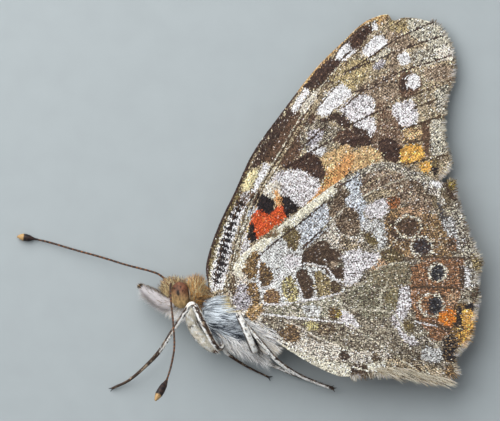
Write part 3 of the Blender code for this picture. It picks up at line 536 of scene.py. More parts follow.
# Marks of the hindwing's underside, laid out in the same way
HINDWING_MARKS = [
    ("stone", "umber", 0.42, [(215, 310), (225, 270), (250, 240), (300, 205), (345, 170), (385, 155),
        (450, 170), (475, 230), (490, 260), (482, 320), (470, 370), (440, 392), (340, 385), (280, 355)]),
    ("dove", "umber", 0.22, [(238, 262), (250, 250), (262, 240), (282, 226), (300, 216), (302, 240),
        (304, 254), (300, 264), (290, 271), (276, 281), (263, 288), (258, 300), (240, 300), (236, 280)]),
    ("dove", "umber", 0.21, [(258, 292), (268, 284), (285, 272), (300, 266), (318, 267), (330, 272),
        (338, 280), (344, 290), (330, 298), (300, 302), (275, 306), (262, 304)]),
    ("fleece", "umber", 0.16, [(226, 283), (240, 262), (250, 280), (262, 300), (262, 320), (250, 322),
        (238, 312), (230, 303)]),
    ("lilac_white", "umber", 0.13, [(283, 258), (292, 254), (300, 257), (300, 264), (291, 270), (284, 268)]),
    ("dove", "umber", 0.11, [(262, 250), (272, 242), (278, 246), (276, 262), (270, 268), (262, 260)]),
    ("sage", "fleece", 0.4, [(264, 306), (280, 304), (300, 302), (318, 299), (340, 296), (345, 306),
        (338, 318), (320, 318), (300, 317), (280, 314), (264, 312)]),
    ("dove", "umber", 0.22, [(300, 306), (312, 304), (322, 308), (318, 316), (306, 316)]),
    ("ice", "umber", 0.25, [(300, 224), (308, 213), (318, 205), (326, 205), (331, 214), (329, 224),
        (322, 234), (314, 241), (305, 247), (300, 243)]),
    ("fleece", "umber", 0.28, [(318, 240), (326, 231), (333, 220), (341, 216), (344, 230), (352, 238),
        (363, 236), (362, 246), (350, 249), (343, 256), (336, 249), (330, 249), (326, 241)]),
    ("sand", "umber", 0.45, [(340, 236), (352, 240), (364, 244), (362, 250), (350, 250), (340, 252)]),
    ("taupe", "brown", 0.42, [(358, 173), (372, 166), (386, 163), (396, 171), (408, 180), (420, 187),
        (430, 197), (436, 208), (426, 213), (410, 207), (398, 199), (385, 191), (372, 192), (363, 197),
        (358, 187)]),
    ("pale", "dark", 0.42, [(341, 186), (350, 175), (362, 167), (380, 160), (398, 165), (415, 171),
        (430, 177), (441, 189), (447, 204), (440, 206), (431, 192), (419, 182), (402, 174), (384, 169),
        (368, 174), (356, 182), (346, 190)]),
    ("sand", "umber", 0.3, [(370, 192), (384, 188), (396, 192), (392, 200), (380, 202), (370, 204)]),
    ("lilac_white", "umber", 0.17, [(366, 206), (374, 201), (384, 198), (389, 204), (388, 212), (380, 219),
        (370, 219), (364, 213)]),
    ("ice", "umber", 0.18, [(343, 184), (350, 178), (358, 173), (361, 181), (359, 190), (362, 198),
        (367, 205), (363, 213), (367, 222), (361, 231), (360, 218), (356, 210), (348, 207), (343, 201),
        (350, 193)]),
    ("dove", "umber", 0.28, [(361, 222), (372, 220), (384, 222), (386, 236), (384, 250), (374, 252),
        (378, 244), (372, 234), (364, 232)]),
    ("bronze", "umber", 0.4, [(386, 214), (398, 206), (412, 206), (426, 212), (438, 216), (445, 230),
        (449, 245), (452, 258), (440, 259), (428, 258), (412, 258), (400, 256), (391, 248), (386, 236),
        (384, 224)]),
    ("rust_pale", "umber", 0.25, [(400, 210), (412, 206), (424, 212), (422, 220), (410, 216), (400, 218)]),
    ("dove", "dark", 0.5, [(440, 222), (450, 216), (458, 226), (462, 240), (460, 250), (450, 246),
        (446, 234)]),
    ("olive_dark", "umber", 0.4, [(380, 252), (392, 248), (402, 256), (404, 266), (396, 270), (384, 266)]),
    ("rust_pale", "umber", 0.3, [(366, 262), (378, 258), (388, 262), (384, 270), (372, 272)]),
    ("drab", "sage", 0.45, [(384, 266), (400, 262), (411, 264), (410, 284), (398, 286), (384, 286),
        (364, 284), (370, 272)]),
    ("sage", "umber", 0.36, [(346, 288), (366, 284), (398, 288), (396, 304), (388, 316), (370, 320),
        (356, 312), (346, 302)]),
    ("olive_dark", "sage", 0.45, [(386, 287), (398, 287), (398, 300), (392, 308), (384, 302)]),
    ("olive_dark", "umber", 0.3, [(400, 322), (408, 320), (414, 326), (411, 332), (403, 330)]),
    ("stone", "umber", 0.35, [(360, 322), (388, 318), (396, 328), (400, 340), (390, 350), (370, 346),
        (358, 334)]),
    ("stone", "umber", 0.35, [(300, 338), (330, 340), (350, 346), (372, 350), (384, 358), (372, 366),
        (346, 362), (324, 358), (306, 350)]),
    ("cream", "umber", 0.03, [(231, 264), (242, 246), (258, 233), (276, 220), (296, 204), (316, 189),
        (331, 178), (342, 171), (346, 183), (336, 191), (324, 202), (307, 216), (292, 228), (278, 238),
        (267, 246), (256, 256), (244, 268), (237, 280)]),
    ("drab", "rust", 0.3, [(265, 236), (270, 231), (277, 230), (279, 235), (273, 239), (267, 240)]),
    ("umber", "sand", 0.2, [(229, 277), (233, 274), (236, 278), (235, 284), (236, 291), (233, 298),
        (230, 294), (228, 287)]),
    ("ochre_dark", "umber", 0.42, [(243, 267), (247, 259), (252, 253), (257, 251), (259, 258), (257, 266),
        (258, 275), (254, 279), (247, 279), (242, 273)]),
    ("umber", "ochre_dark", 0.4, [(259, 262), (263, 262), (267, 266), (271, 270), (273, 277), (270, 283),
        (265, 288), (261, 285), (259, 277), (258, 269)]),
    ("ochre_dark", "dark", 0.4, [(246, 284), (252, 281), (257, 285), (259, 293), (260, 300), (260, 306),
        (256, 308), (252, 300), (248, 292)]),
    ("tan", "ochre_dark", 0.4, [(247, 309), (255, 302), (262, 304), (264, 310), (259, 316), (252, 320),
        (247, 319), (244, 314)]),
    ("lilac", "umber", 0.28, [(236, 291), (240, 281), (246, 286), (249, 295), (252, 303), (247, 309),
        (240, 310), (234, 309), (232, 301)]),
    ("brown", "tan", 0.4, [(262, 298), (266, 291), (272, 288), (278, 291), (281, 297), (279, 303),
        (273, 305), (267, 305)]),
    ("citron", "umber", 0.4, [(281, 284), (285, 278), (290, 276), (295, 281), (296, 287), (299, 294),
        (298, 300), (292, 303), (286, 301), (283, 293)]),
    ("umber", "dark", 0.3, [(295, 272), (301, 268), (307, 273), (311, 279), (314, 286), (314, 294),
        (310, 299), (305, 300), (301, 294), (299, 287), (295, 280)]),
    ("olive", "umber", 0.35, [(313, 272), (320, 271), (326, 276), (331, 283), (334, 292), (327, 297),
        (318, 298), (315, 290), (315, 282)]),
    ("umber", "olive", 0.25, [(330, 281), (336, 281), (342, 286), (340, 292), (334, 296), (330, 290)]),
    ("umber", "dark", 0.3, [(299, 259), (306, 250), (314, 244), (322, 240), (329, 242), (331, 249),
        (337, 249), (342, 254), (344, 259), (338, 263), (334, 268), (340, 267), (345, 270), (346, 277),
        (338, 280), (330, 277), (325, 271), (318, 266), (310, 264), (303, 263)]),
    ("taupe", "umber", 0.15, [(330, 263), (335, 261), (338, 264), (335, 268), (331, 268)]),
    ("olive_dark", "umber", 0.35, [(282, 230), (290, 226), (298, 230), (300, 240), (297, 249), (293, 252),
        (286, 245), (283, 238)]),
    ("umber", "taupe", 0.35, [(328, 213), (333, 204), (338, 193), (343, 188), (348, 193), (345, 200),
        (342, 207), (342, 214), (336, 218), (330, 222)]),
    ("umber", "taupe", 0.25, [(333, 188), (339, 181), (343, 185), (339, 191)]),
    ("umber", "taupe", 0.42, [(334, 224), (338, 214), (345, 208), (354, 208), (360, 216), (360, 228),
        (355, 236), (346, 235), (338, 231)]),
    ("umber", "taupe", 0.3, [(408, 180), (414, 180), (422, 188), (428, 196), (424, 200), (416, 192),
        (410, 186)]),
    ("sienna", "umber", 0.4, [(386, 203), (389, 198), (394, 196), (399, 199), (400, 204), (397, 208),
        (391, 209), (387, 207)]),
    ("olive_dark", "umber", 0.25, [(363, 237), (368, 231), (373, 235), (378, 243), (377, 249), (370, 246),
        (365, 241)]),
    ("lilac_white", "umber", 0.2, [(340, 256), (350, 250), (362, 251), (374, 252), (382, 257), (374, 265),
        (363, 271), (358, 280), (350, 287), (343, 285), (344, 276), (344, 268)]),
    ("lilac_white", "umber", 0.3, [(400, 286), (409, 288), (411, 300), (408, 312), (401, 322), (399, 331),
        (392, 326), (390, 318), (396, 308), (399, 298)]),
    ("lilac_white", "umber", 0.32, [(396, 329), (404, 330), (412, 336), (419, 344), (411, 347), (402, 340)]),
    ("lilac_white", "umber", 0.17, [(339, 309), (346, 309), (352, 316), (358, 324), (353, 329), (344, 323),
        (338, 317)]),
    ("umber", "ochre_dark", 0.3, [(327, 309), (334, 306), (338, 311), (336, 319), (329, 318)]),
    ("citron_dark", "umber", 0.4, [(335, 307), (340, 311), (342, 318), (337, 319)]),
    ("citron", "umber", 0.2, [(303, 323), (312, 320), (318, 324), (316, 329), (308, 331)]),
    ("umber", "sand", 0.25, [(318, 322), (332, 324), (336, 330), (326, 336), (316, 332)]),
    ("fleece", "dark", 0.25, [(268, 332), (300, 336), (330, 344), (352, 352), (372, 350), (390, 352),
        (385, 360), (350, 362), (320, 358), (290, 350)]),
    ("umber", "bronze", 0.35, [(278, 331), (288, 323), (298, 326), (300, 334), (296, 341), (289, 343),
        (282, 338)]),
    ("fleece", "umber", 0.22, [(300, 333), (307, 334), (306, 342), (299, 342)]),
    ("cream", "umber", 0.12, [(272, 338), (285, 345), (300, 351), (315, 357), (330, 361), (346, 363),
        (352, 369), (345, 379), (332, 378), (318, 372), (305, 366), (290, 357), (278, 349)]),
    ("umber", "dark", 0.4, [(338, 351), (344, 349), (349, 354), (347, 360), (341, 360), (337, 356)]),
    ("umber", "drab", 0.3, [(370, 354), (376, 352), (381, 358), (376, 362), (371, 360)]),
    ("cream", "umber", 0.1, [(364, 363), (380, 360), (392, 362), (388, 370), (372, 371)]),
    ("sand", "umber", 0.35, [(386, 358), (404, 358), (424, 364), (444, 370), (452, 378), (444, 385),
        (420, 381), (396, 376), (384, 370)]),
    ("umber", "dark", 0.3, [(350, 369), (355, 364), (363, 363), (369, 368), (367, 374), (359, 377),
        (352, 375)]),
    ("rust", "umber", 0.36, [(411, 268), (420, 262), (432, 258), (446, 259), (460, 258), (467, 264),
        (464, 275), (461, 290), (458, 302), (456, 310), (453, 328), (446, 336), (438, 342), (430, 338),
        (424, 328), (415, 318), (411, 305), (410, 285)]),
    ("rust_pale", "umber", 0.25, [(446, 292), (456, 290), (458, 300), (452, 306), (446, 302)]),
    ("umber", "dark", 0.3, [(390, 218), (396, 220), (394, 230), (400, 238), (410, 240), (406, 243),
        (396, 241), (390, 232)]),
    ("dove", "dark", 0.28, [(420, 350), (430, 347), (441, 350), (441, 360), (430, 363), (420, 358)]),
    ("pale", "dark", 0.5, [(452, 203), (460, 204), (463, 215), (469, 228), (474, 245), (479, 255),
        (482, 268), (480, 290), (471, 290), (467, 275), (464, 262), (460, 250), (457, 235), (453, 222),
        (450, 210)]),
    ("olive", "umber", 0.3, [(470, 255), (478, 256), (483, 264), (481, 274), (473, 270)]),
    ("white", "umber", 0.2, [(464, 268), (469, 268), (470, 282), (467, 290), (463, 286)]),
    ("umber", "dark", 0.3, [(459, 265), (464, 266), (465, 278), (463, 288), (459, 284)]),
    ("umber", "sage", 0.3, [(470, 290), (479, 288), (481, 299), (474, 303), (468, 299)]),
    ("white", "umber", 0.12, [(424, 186), (430, 182), (440, 181), (443, 187), (436, 190), (428, 191)]),
    ("drab", "umber", 0.35, [(430, 196), (442, 190), (452, 194), (450, 206), (440, 212), (432, 206)]),
    ("fleece", "dark", 0.35, [(420, 180), (430, 184), (440, 194), (446, 203), (441, 205), (433, 196),
        (424, 188)]),
    ("umber", "dark", 0.35, [(444, 184), (448, 178), (456, 177), (459, 184), (460, 193), (461, 201),
        (453, 201), (447, 196), (446, 190)]),
    ("citron_dark", "umber", 0.2, [(448, 180), (455, 178), (457, 186), (453, 190), (449, 187)]),
    ("slate", "umber", 0.3, [(437, 203), (441, 204), (442, 210), (438, 210)]),
    ("slate", "umber", 0.3, [(440, 212), (445, 213), (446, 219), (442, 220)]),
    ("umber", "rust", 0.3, [(448, 238), (453, 236), (457, 244), (455, 251), (449, 249)]),
    ("ochre_dark", "dark", 0.4, [(455, 303), (478, 303), (479, 330), (470, 346), (455, 348), (450, 336)]),
    ("dark", "umber", 0.3, [(470, 332), (475, 331), (479, 336), (477, 343), (471, 347), (467, 346),
        (472, 340)]),
    ("pale", "umber", 0.28, [(456, 352), (463, 350), (466, 356), (458, 362)]),
    ("umber", "tan", 0.35, [(444, 366), (452, 364), (456, 372), (450, 380), (444, 376)]),
]
# Bright and black marks at the hindwing's corner, laid down last
CORNER_MARKS = [
    ("orange", "umber", 0.15, [(440, 313), (448, 309), (456, 312), (456, 320), (450, 327), (443, 325),
        (437, 320)]),
    ("black", "umber", 0.25, [(456, 308), (460, 305), (462, 318), (460, 327), (455, 326), (455, 317)]),
    ("black", "umber", 0.2, [(463, 305), (470, 303), (477, 304), (476, 309), (466, 309)]),
    ("amber", "umber", 0.12, [(462, 310), (470, 310), (476, 318), (478, 327), (470, 329), (463, 326),
        (461, 317)]),
    ("amber", "umber", 0.35, [(457, 329), (465, 327), (472, 329), (474, 336), (470, 344), (463, 348),
        (458, 344), (456, 336)]),
    ("black", "bronze", 0.2, [(444, 338), (451, 334), (457, 340), (455, 348), (459, 354), (454, 363),
        (445, 362), (441, 353), (444, 345)]),
]
# Eyespots of the hindwing: centre, half-widths of the ring and of the middle, shift of the middle, share of
# flecks in the ring, and the tones of the inner ring, the middle and the dust on it
EYESPOTS = [
    ((408, 227), (15, 13.5), (10.5, 9), 0.0, 0.3, "bronze", "umber", "brown"),
    ((421, 247), (13, 12), (9, 7.5), 0.0, 0.25, "umber", "dark", "slate"),
    ((437, 273), (11, 10.5), (7.5, 7.5), 0.0, 0.16, "cream", "black", "slate"),
    ((431, 305), (14.5, 13), (7, 9), 3.5, 0.2, "rust", "black", "slate"),
]
HINDWING_LINES = [
    ("white", 0.086, [(262, 303), (280, 305), (300, 301), (320, 298), (341, 293)]),
    ("white", 0.094, [(262, 314), (275, 315), (290, 317), (310, 319), (330, 321), (348, 323)]),
    ("white", 0.072, [(260, 252), (259, 266), (258, 280), (261, 290)]),
    ("white", 0.072, [(261, 290), (268, 286), (277, 279), (290, 270), (300, 265), (308, 263), (318, 266),
        (326, 267), (331, 274), (336, 280), (343, 282)]),
    ("white", 0.065, [(296, 280), (300, 290), (302, 298)]),
    ("fleece", 0.086, [(284, 321), (298, 326), (312, 335), (326, 341), (340, 346)]),
    ("pale", 0.08, [(341, 293), (352, 289), (362, 284), (372, 278)]),
    ("pale", 0.09, [(335, 300), (345, 305), (354, 309), (367, 310), (380, 310), (395, 314), (400, 323),
        (404, 331), (411, 338)]),
    ("pale", 0.09, [(387, 285), (381, 291), (380, 298), (381, 305), (376, 310)]),
    ("pale", 0.08, [(348, 323), (362, 333), (376, 342), (392, 351)]),
    ("dark", 0.08, [(256, 259), (267, 249), (278, 240), (292, 229.5), (307, 217.5), (324, 203.5)]),
    ("dark", 0.09, [(302, 249), (311, 240), (320, 232), (332, 219)]),
    ("pale", 0.08, [(322, 230), (333, 219), (341, 211)]),
    ("dark", 0.07, [(340, 185), (350, 181), (360, 175)]),
    ("pale", 0.08, [(362, 197), (380, 188), (394, 182), (408, 178)]),
    ("sand", 0.08, [(362, 188), (378, 178), (394, 172)]),
    ("umber", 0.1, [(409, 259), (430, 257), (450, 258), (470, 259)]),
    ("umber", 0.1, [(410, 288), (430, 287), (450, 288), (468, 290)]),
    ("pale", 0.072, [(374, 252), (386, 248), (396, 240)]),
    ("pale", 0.08, [(376, 268), (392, 264), (408, 262)]),
    ("umber", 0.09, [(412, 320), (425, 322), (438, 325), (450, 330)]),
    ("white", 0.065, [(414, 321), (424, 324), (436, 326)]),
    ("fleece", 0.058, [(420, 333), (428, 339), (436, 346)]),
    ("cream", 0.075, [(352, 366), (366, 370), (382, 370), (396, 366)]),
    ("cream", 0.075, [(390, 362), (410, 372), (430, 380)]),
    ("cream", 0.075, [(400, 360), (420, 370), (444, 381)]),
    ("umber", 0.07, [(395, 364), (412, 375), (428, 381)]),
    ("umber", 0.07, [(406, 361), (426, 373), (444, 382)]),
]


# Shapes and noise
def linear(tone):
    """A tone of TONES as linear light."""
    share = np.array(TONES[tone], float) / 255.0
    return np.where(share < 0.04045, share / 12.92, ((share + 0.055) / 1.055) ** 2.4)


def mixed(count, rng, shares):
    """One of the tones for each place, by share."""
    parts = np.array(list(shares.values()))
    picks = rng.choice(len(shares), count, p=parts / sum(shares.values()))
    table = np.array([linear(tone) for tone in shares])
    return table[picks] * rng.uniform(0.85, 1.1, count)[:, None]


def unit(vectors):
    return vectors / np.maximum(np.linalg.norm(vectors, axis=-1, keepdims=True), 1e-9)


def turned(across, up, angle):
    """Two coordinates turned by an angle in radians."""
    return across * np.cos(angle) - up * np.sin(angle), across * np.sin(angle) + up * np.cos(angle)


def left_of(ways):
    """Ways in the plane, turned a quarter to the left."""
    return np.stack([-ways[:, 1], ways[:, 0]], axis=1)


def closed(ring):
    """The ring with its first point repeated at its end."""
    return np.vstack([ring, ring[:1]])


def lengths_along(line):
    """Distance along a line from its start to each of its points."""
    return np.concatenate([[0.0], np.cumsum(np.linalg.norm(np.diff(line, axis=0), axis=1))])


def on_grid(points):
    """Grid columns and rows turned into millimetres on the wing's plane."""
    given = np.array(points, float).reshape(-1, 2)
    return np.stack([(given[:, 0] - GRID_COLUMN_0) * GRID, (GRID_ROW_0 - given[:, 1]) * GRID], axis=1)


def oval(centre, half_x, half_y, turn=0.0, count=20):
    """An oval on the grid."""
    angles = np.linspace(0.0, TAU, count, endpoint=False)
    return np.column_stack(turned(half_x * np.cos(angles), half_y * np.sin(angles), turn)) + centre


def spline(points, loop, step):
    """Points at about equal steps along a smooth curve through the given ones."""
    given = np.array(points, float)
    count = len(given)
    dense = []
    for i in range(count if loop else count - 1):
        if loop:
            a, b, c, d = (given[(i + k) % count] for k in (-1, 0, 1, 2))
        else:
            b = given[i]
            c = given[i + 1]
            a = given[i - 1] if i else 2 * b - c
            d = given[i + 2] if i + 2 < count else 2 * c - b
        for t in np.linspace(0.0, 1.0, 12, endpoint=False):
            dense.append(0.5 * (2 * b + (c - a) * t + (2 * a - 5 * b + 4 * c - d) * t * t
                                + (3 * b - a - 3 * c + d) * t ** 3))
    dense.append(given[0] if loop else given[-1])
    dense = np.array(dense)
    length = lengths_along(dense[:, :3])
    at = np.linspace(0.0, length[-1], max(2, int(round(length[-1] / step))) + 1)
    even = np.stack([np.interp(at, length, dense[:, k]) for k in range(dense.shape[1])], axis=1)
    return even[:-1] if loop else even


def away(points, lines):
    """Distance in the plane from each point to the nearest of the polylines."""
    best = np.full(len(points), np.inf)
    for line in lines:
        for a, b in zip(line[:-1], line[1:]):
            along = b - a
            share = np.clip(((points - a) @ along) / max(along @ along, 1e-12), 0.0, 1.0)
            gap = np.linalg.norm(points - (a + share[:, None] * along), axis=1)
            best = np.minimum(best, gap)
    return best


def inside(points, ring):
    """Which points lie within a closed outline."""
    found = np.zeros(len(points), bool)
    near = np.flatnonzero(((points > ring.min(axis=0)) & (points < ring.max(axis=0))).all(axis=1))
    some = points[near]
    crossed = np.zeros(len(some), bool)
    for a, b in zip(ring, np.roll(ring, -1, axis=0)):
        crosses = (a[1] > some[:, 1]) != (b[1] > some[:, 1])
        where = (b[0] - a[0]) * (some[:, 1] - a[1]) / (b[1] - a[1] + 1e-12) + a[0]
        crossed ^= crosses & (some[:, 0] < where)
    found[near] = crossed
    return found


def smoothstep(value, start, end):
    share = np.clip((value - start) / (end - start), 0.0, 1.0)
    return share * share * (3.0 - 2.0 * share)


def cloud(points, size, seed):
    """Smooth noise from -1 to 1 in lumps of about the given size."""
    cells = points / size
    base = np.floor(cells)
    share = smoothstep(cells - base, 0.0, 1.0)
    total = np.zeros(len(points))
    for dx in (0, 1):
        for dy in (0, 1):
            phase = (base[:, 0] + dx) * 12.9898 + (base[:, 1] + dy) * 78.233 + seed * 37.719
            hashed = np.sin(phase) * 43758.5453
            value = 2.0 * (hashed - np.floor(hashed)) - 1.0
            weight_x = share[:, 0] if dx else 1.0 - share[:, 0]
            weight_y = share[:, 1] if dy else 1.0 - share[:, 1]
            total += value * (weight_x * weight_y)
    return total


# Meshes
def put(name, data):
    """An object with the given data, in the scene."""
    made = bpy.data.objects.new(name, data)
    bpy.context.scene.collection.objects.link(made)
    return made


def add_tint(mesh, tints):
    """A colour for each point of a mesh."""
    full = np.ones((len(mesh.vertices), 4), np.float32)
    full[:, :3] = tints
    mesh.color_attributes.new("tint", "FLOAT_COLOR", "POINT").data.foreach_set("color", full.ravel())


def mesh_spots(mesh):
    """A mesh's points in millimetres."""
    spots = np.empty(len(mesh.vertices) * 3)
    mesh.vertices.foreach_get("co", spots)
    return spots.reshape(-1, 3) / MM


def make_mesh(name, points, face_sets, tints, surface, places=None):
    """One smooth object from points in millimetres with a colour each and, for a coat, its OFBake map."""
    mesh = bpy.data.meshes.new(name)
    loops = np.concatenate([faces.ravel() for faces in face_sets]).astype(np.int32)
    sizes = np.concatenate([np.full(len(faces), faces.shape[1]) for faces in face_sets])
    mesh.vertices.add(len(points))
    mesh.vertices.foreach_set("co", (np.asarray(points, np.float32) * MM).ravel())
    mesh.loops.add(len(loops))
    mesh.loops.foreach_set("vertex_index", loops)
    mesh.polygons.add(len(sizes))
    mesh.polygons.foreach_set("loop_start", np.concatenate([[0], np.cumsum(sizes)[:-1]]).astype(np.int32))
    mesh.polygons.foreach_set("use_smooth", np.ones(len(sizes), bool))
    mesh.update(calc_edges=True)
    mesh.validate()
    add_tint(mesh, tints)
    if places is not None:
        layer = mesh.uv_layers.new(name="OFBake")
        layer.data.foreach_set("uv", np.asarray(places, np.float32)[loops].ravel())
    mesh.materials.append(surface)
    return put(name, mesh)


def tube_faces(rings, around):
    """Four-sided faces between rings of points."""
    grid = np.meshgrid(np.arange(rings - 1), np.arange(around), indexing="ij")
    rows, columns = (part.ravel() for part in grid)
    after = (columns + 1) % around
    return np.column_stack([rows * around + columns, (rows + 1) * around + columns,
                            (rows + 1) * around + after, rows * around + after])


def ball(centre, radii, turn, rings, around):
    """A ball of radius 1, the same points as an ovoid turned about the vertical, and its faces."""
    downs = np.arange(rings + 1) / rings * math.pi
    angles = np.arange(around) / around * TAU
    down, angle = (part.ravel() for part in np.meshgrid(downs, angles, indexing="ij"))
    plain = np.column_stack([np.sin(down) * np.cos(angle), np.sin(down) * np.sin(angle), np.cos(down)])
    across, up, z = (plain * np.array(radii)).T
    x, y = turned(across, up, math.radians(turn))
    return plain, np.column_stack([x, y, z]) + np.array(centre), tube_faces(rings + 1, around)


def coat_mesh(name, rows, orders, surface):
    """One mesh of many like pieces, from a row of points, tints and map places for each corner of a piece."""
    points, tints, places = (np.stack(part, axis=1) for part in zip(*rows))
    start = np.arange(len(points))[:, None, None] * len(rows)
    faces = [(start + np.array(order)).reshape(-1, len(order[0])) for order in orders]
    tints = np.clip(tints.reshape(-1, 3), 0.0, 1.0)
    return make_mesh(name, points.reshape(-1, 3), faces, tints, surface, places.reshape(-1, 2))


def settle(piece, slot, *nodes):
    """The piece rides on the model and stands for the nodes, which are hidden; the slot is not used."""
    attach(piece, "root")
    if nodes:
        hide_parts(*nodes)


# Materials
def set_sockets(node, values):
    """Numbers and colours on a node's own sockets."""
    for socket, value in values.items():
        node.inputs[socket].default_value = value


def matt_material(name, roughness, sheen=0.0):
    """A matt material, with its tree and its shader."""
    made = bpy.data.materials.new(name)
    made.use_nodes = True
    shader = made.node_tree.nodes["Principled BSDF"]
    set_sockets(shader, {"Roughness": roughness, "Specular IOR Level": 0.2, "Sheen Weight": sheen})
    return made, made.node_tree, shader


def surface_material(name):
    """Colour from the mesh's own tints, varied and roughened by fine noise."""
    roughness, grain_size, grain_depth, variation, sheen = FINISHES[name]
    made, tree, shader = matt_material(name, roughness, sheen)
    tint = tree.nodes.new("ShaderNodeAttribute")
    tint.attribute_name = "tint"
    where = tree.nodes.new("ShaderNodeTexCoord")
    grain = tree.nodes.new("ShaderNodeTexNoise")
    set_sockets(grain, {"Scale": 1.0 / (grain_size * MM), "Detail": 3.0})
    ramp = tree.nodes.new("ShaderNodeValToRGB")
    for stop, place, change in zip(ramp.color_ramp.elements, (0.25, 0.75), (-variation, variation)):
        stop.position = place
        stop.color = (1.0 + change,) * 3 + (1.0,)
    mix = tree.nodes.new("ShaderNodeMix")
    mix.data_type = "RGBA"
    mix.blend_type = "MULTIPLY"
    set_sockets(mix, {"Factor": 1.0})
    bump = tree.nodes.new("ShaderNodeBump")
    set_sockets(bump, {"Strength": 0.5, "Distance": grain_depth * MM})
    for start, out, end, into in (
            (where, "Object", grain, "Vector"), (grain, "Fac", ramp, "Fac"),
            (tint, "Color", mix, "A"), (ramp, "Color", mix, "B"), (mix, "Result", shader, "Base Color"),
            (grain, "Fac", bump, "Height"), (bump, "Normal", shader, "Normal")):
        tree.links.new(start.outputs[out], end.inputs[into])
    return made


def paper_material():
    """Matt pale grey paper with a faint mottle."""
    paper, tree, shader = matt_material("pale_paper", 0.8)
    noise = tree.nodes.new("ShaderNodeTexNoise")
    set_sockets(noise, {"Scale": FLOOR_GRAIN})
    ramp = tree.nodes.new("ShaderNodeValToRGB")
    for stop, tone in zip(ramp.color_ramp.elements, FLOOR_TONES):
        stop.color = tone
    tree.links.new(noise.outputs["Fac"], ramp.inputs["Fac"])
    tree.links.new(ramp.outputs["Color"], shader.inputs["Base Color"])
    return paper


# Wing pattern
def ragged_edges(points, rng):
    """The points shifted a little, so that edges waver and single scales stray over them."""
    moved = points.copy()
    for size, depth, seed in EDGE_WAVES:
        for axis in (0, 1):
            moved[:, axis] += depth * cloud(points, size, seed + axis)
    return moved + rng.normal(0.0, EDGE_SCATTER, moved.shape)


def lay_marks(points, ground, marks):
    """Tone, tone of flecks and share of flecks at each point, with later marks over earlier ones."""
    tones = np.tile(linear(ground[0]), (len(points), 1))
    flecks = np.tile(linear(ground[1]), (len(points), 1))
    share = np.full(len(points), ground[2])
    for tone, other, part, shape in marks:
        hit = inside(points, on_grid(shape))
        tones[hit] = linear(tone)
        flecks[hit] = linear(other)
        share[hit] = part
    return tones, flecks, share


def lay_lines(points, lines, tones, share, rng):
    """Thin lines of uneven width over the marks."""
    for tone, half, route in lines:
        line = on_grid(route)
        low = line.min(axis=0) - LINE_MARGIN
        high = line.max(axis=0) + LINE_MARGIN
        near = np.flatnonzero(((points > low) & (points < high)).all(axis=1))
        hit = near[away(points[near], [line]) < half * rng.uniform(0.6, 1.15, len(near))]
        tones[hit] = linear(tone)
        share[hit] = LINE_FLECKS


def scale_rows(points):
    """Streaks along the rays from the wing's base, and painted shade in rows and columns of scales across
    them.
    """
    spokes = points - np.array(WING_BASE)
    reach = np.linalg.norm(spokes, axis=1)
    bearing = np.arctan2(spokes[:, 1], spokes[:, 0])
    rays = np.column_stack([bearing * reach.mean() / STREAK_SIZE[0], reach / STREAK_SIZE[1]])
    streaks = cloud(rays, 1.0, 24)
    row_shade = np.cos(math.pi * reach / ROW_APART + ROW_SHADE_WARP * cloud(points, 0.5, 34))
    row_shade += 0.5 * np.cos(math.pi * bearing * reach / COLUMN_APART + ROW_SHADE_WARP * cloud(points, 0.5, 35))
    return streaks, row_shade


def paint(points, ground, marks, lines, rng, shade):
    """The colour of each point, from marks with slightly ragged edges, flecks, thin lines and painted shade
    between rows of scales.
    """
    count = len(points)
    ragged = ragged_edges(points, rng)
    tones, flecks, share = lay_marks(ragged, ground, marks)
    streaks, row_shade = scale_rows(points)
    depth = rng.uniform(0.7, 1.0, count)[:, None]
    lay_lines(points * 0.7 + ragged * 0.3, lines, tones, share, rng)
    bright = tones.mean(axis=1)
    # Fleck chances follow lumps, streaks and the painted row shade: dark flecks gather in the shaded rows,
    # white ones on the lit rows.
    lumps = 1.0 + FLECK_LUMPS["lumps"] * cloud(points, LUMP_SIZE, 21) + FLECK_LUMPS["streaks"] * streaks
    lumps = lumps - FLECK_LUMPS["row_shade"] * row_shade

    def dusted(hit, other):
        return np.where(hit[:, None], tones * (1.0 - depth) + other * depth, tones)

    tones = dusted(rng.random(count) < share * lumps, flecks)
    peppery = 0.35 + 0.65 * smoothstep(bright, 0.03, 0.25) - 0.3 * smoothstep(bright, 0.4, 0.7)
    pepper = rng.random(count) < PEPPER_SHARE * share * peppery * lumps
    tones = dusted(pepper, mixed(count, rng, {"dark": 0.4, "black": 0.4, "umber": 0.2}))
    salty = (share + 0.06) * (0.5 + 0.65 * smoothstep(bright, 0.05, 0.2))
    salt = rng.random(count) < SALT_SHARE * salty * (1.5 - lumps)
    frost = mixed(count, rng, {"white": 0.5, "fleece": 0.3, "pale": 0.2}) * 0.55 + tones * 1.5
    tones = dusted(salt, frost)
    # Brightness follows the streaks, painted shade and light on alternate rows of scales, and a random change
    # from scale to scale.
    contrast = BRIGHTNESS["streaks"] * streaks + BRIGHTNESS["row_shade"] * row_shade
    tones = tones * np.exp(contrast + rng.normal(0.0, BRIGHTNESS["scales"], count))[:, None]
    return np.clip(tones * shade, 0.0, 0.95)


def paint_forewing(points, rng):
    """The underside of the forewing, with round white spots and a ladder of dark bars by its root."""
    marks = list(FOREWING_MARKS)
    for flecks, centre, half_x, half_y in WHITE_SPOTS:
        marks.append(("white", "umber", flecks, oval(centre, half_x, half_y)))
    for centre, half_x, half_y in LADDER_BARS:
        wide = half_x * LADDER_GROWTH[0]
        high = half_y * LADDER_GROWTH[1]
        marks.append(("black", "dark", 0.1, oval(centre, wide, high, LADDER_TURN, 10)))
    return paint(points, ("sand", "umber", 0.28), marks, FOREWING_LINES, rng, 0.96)


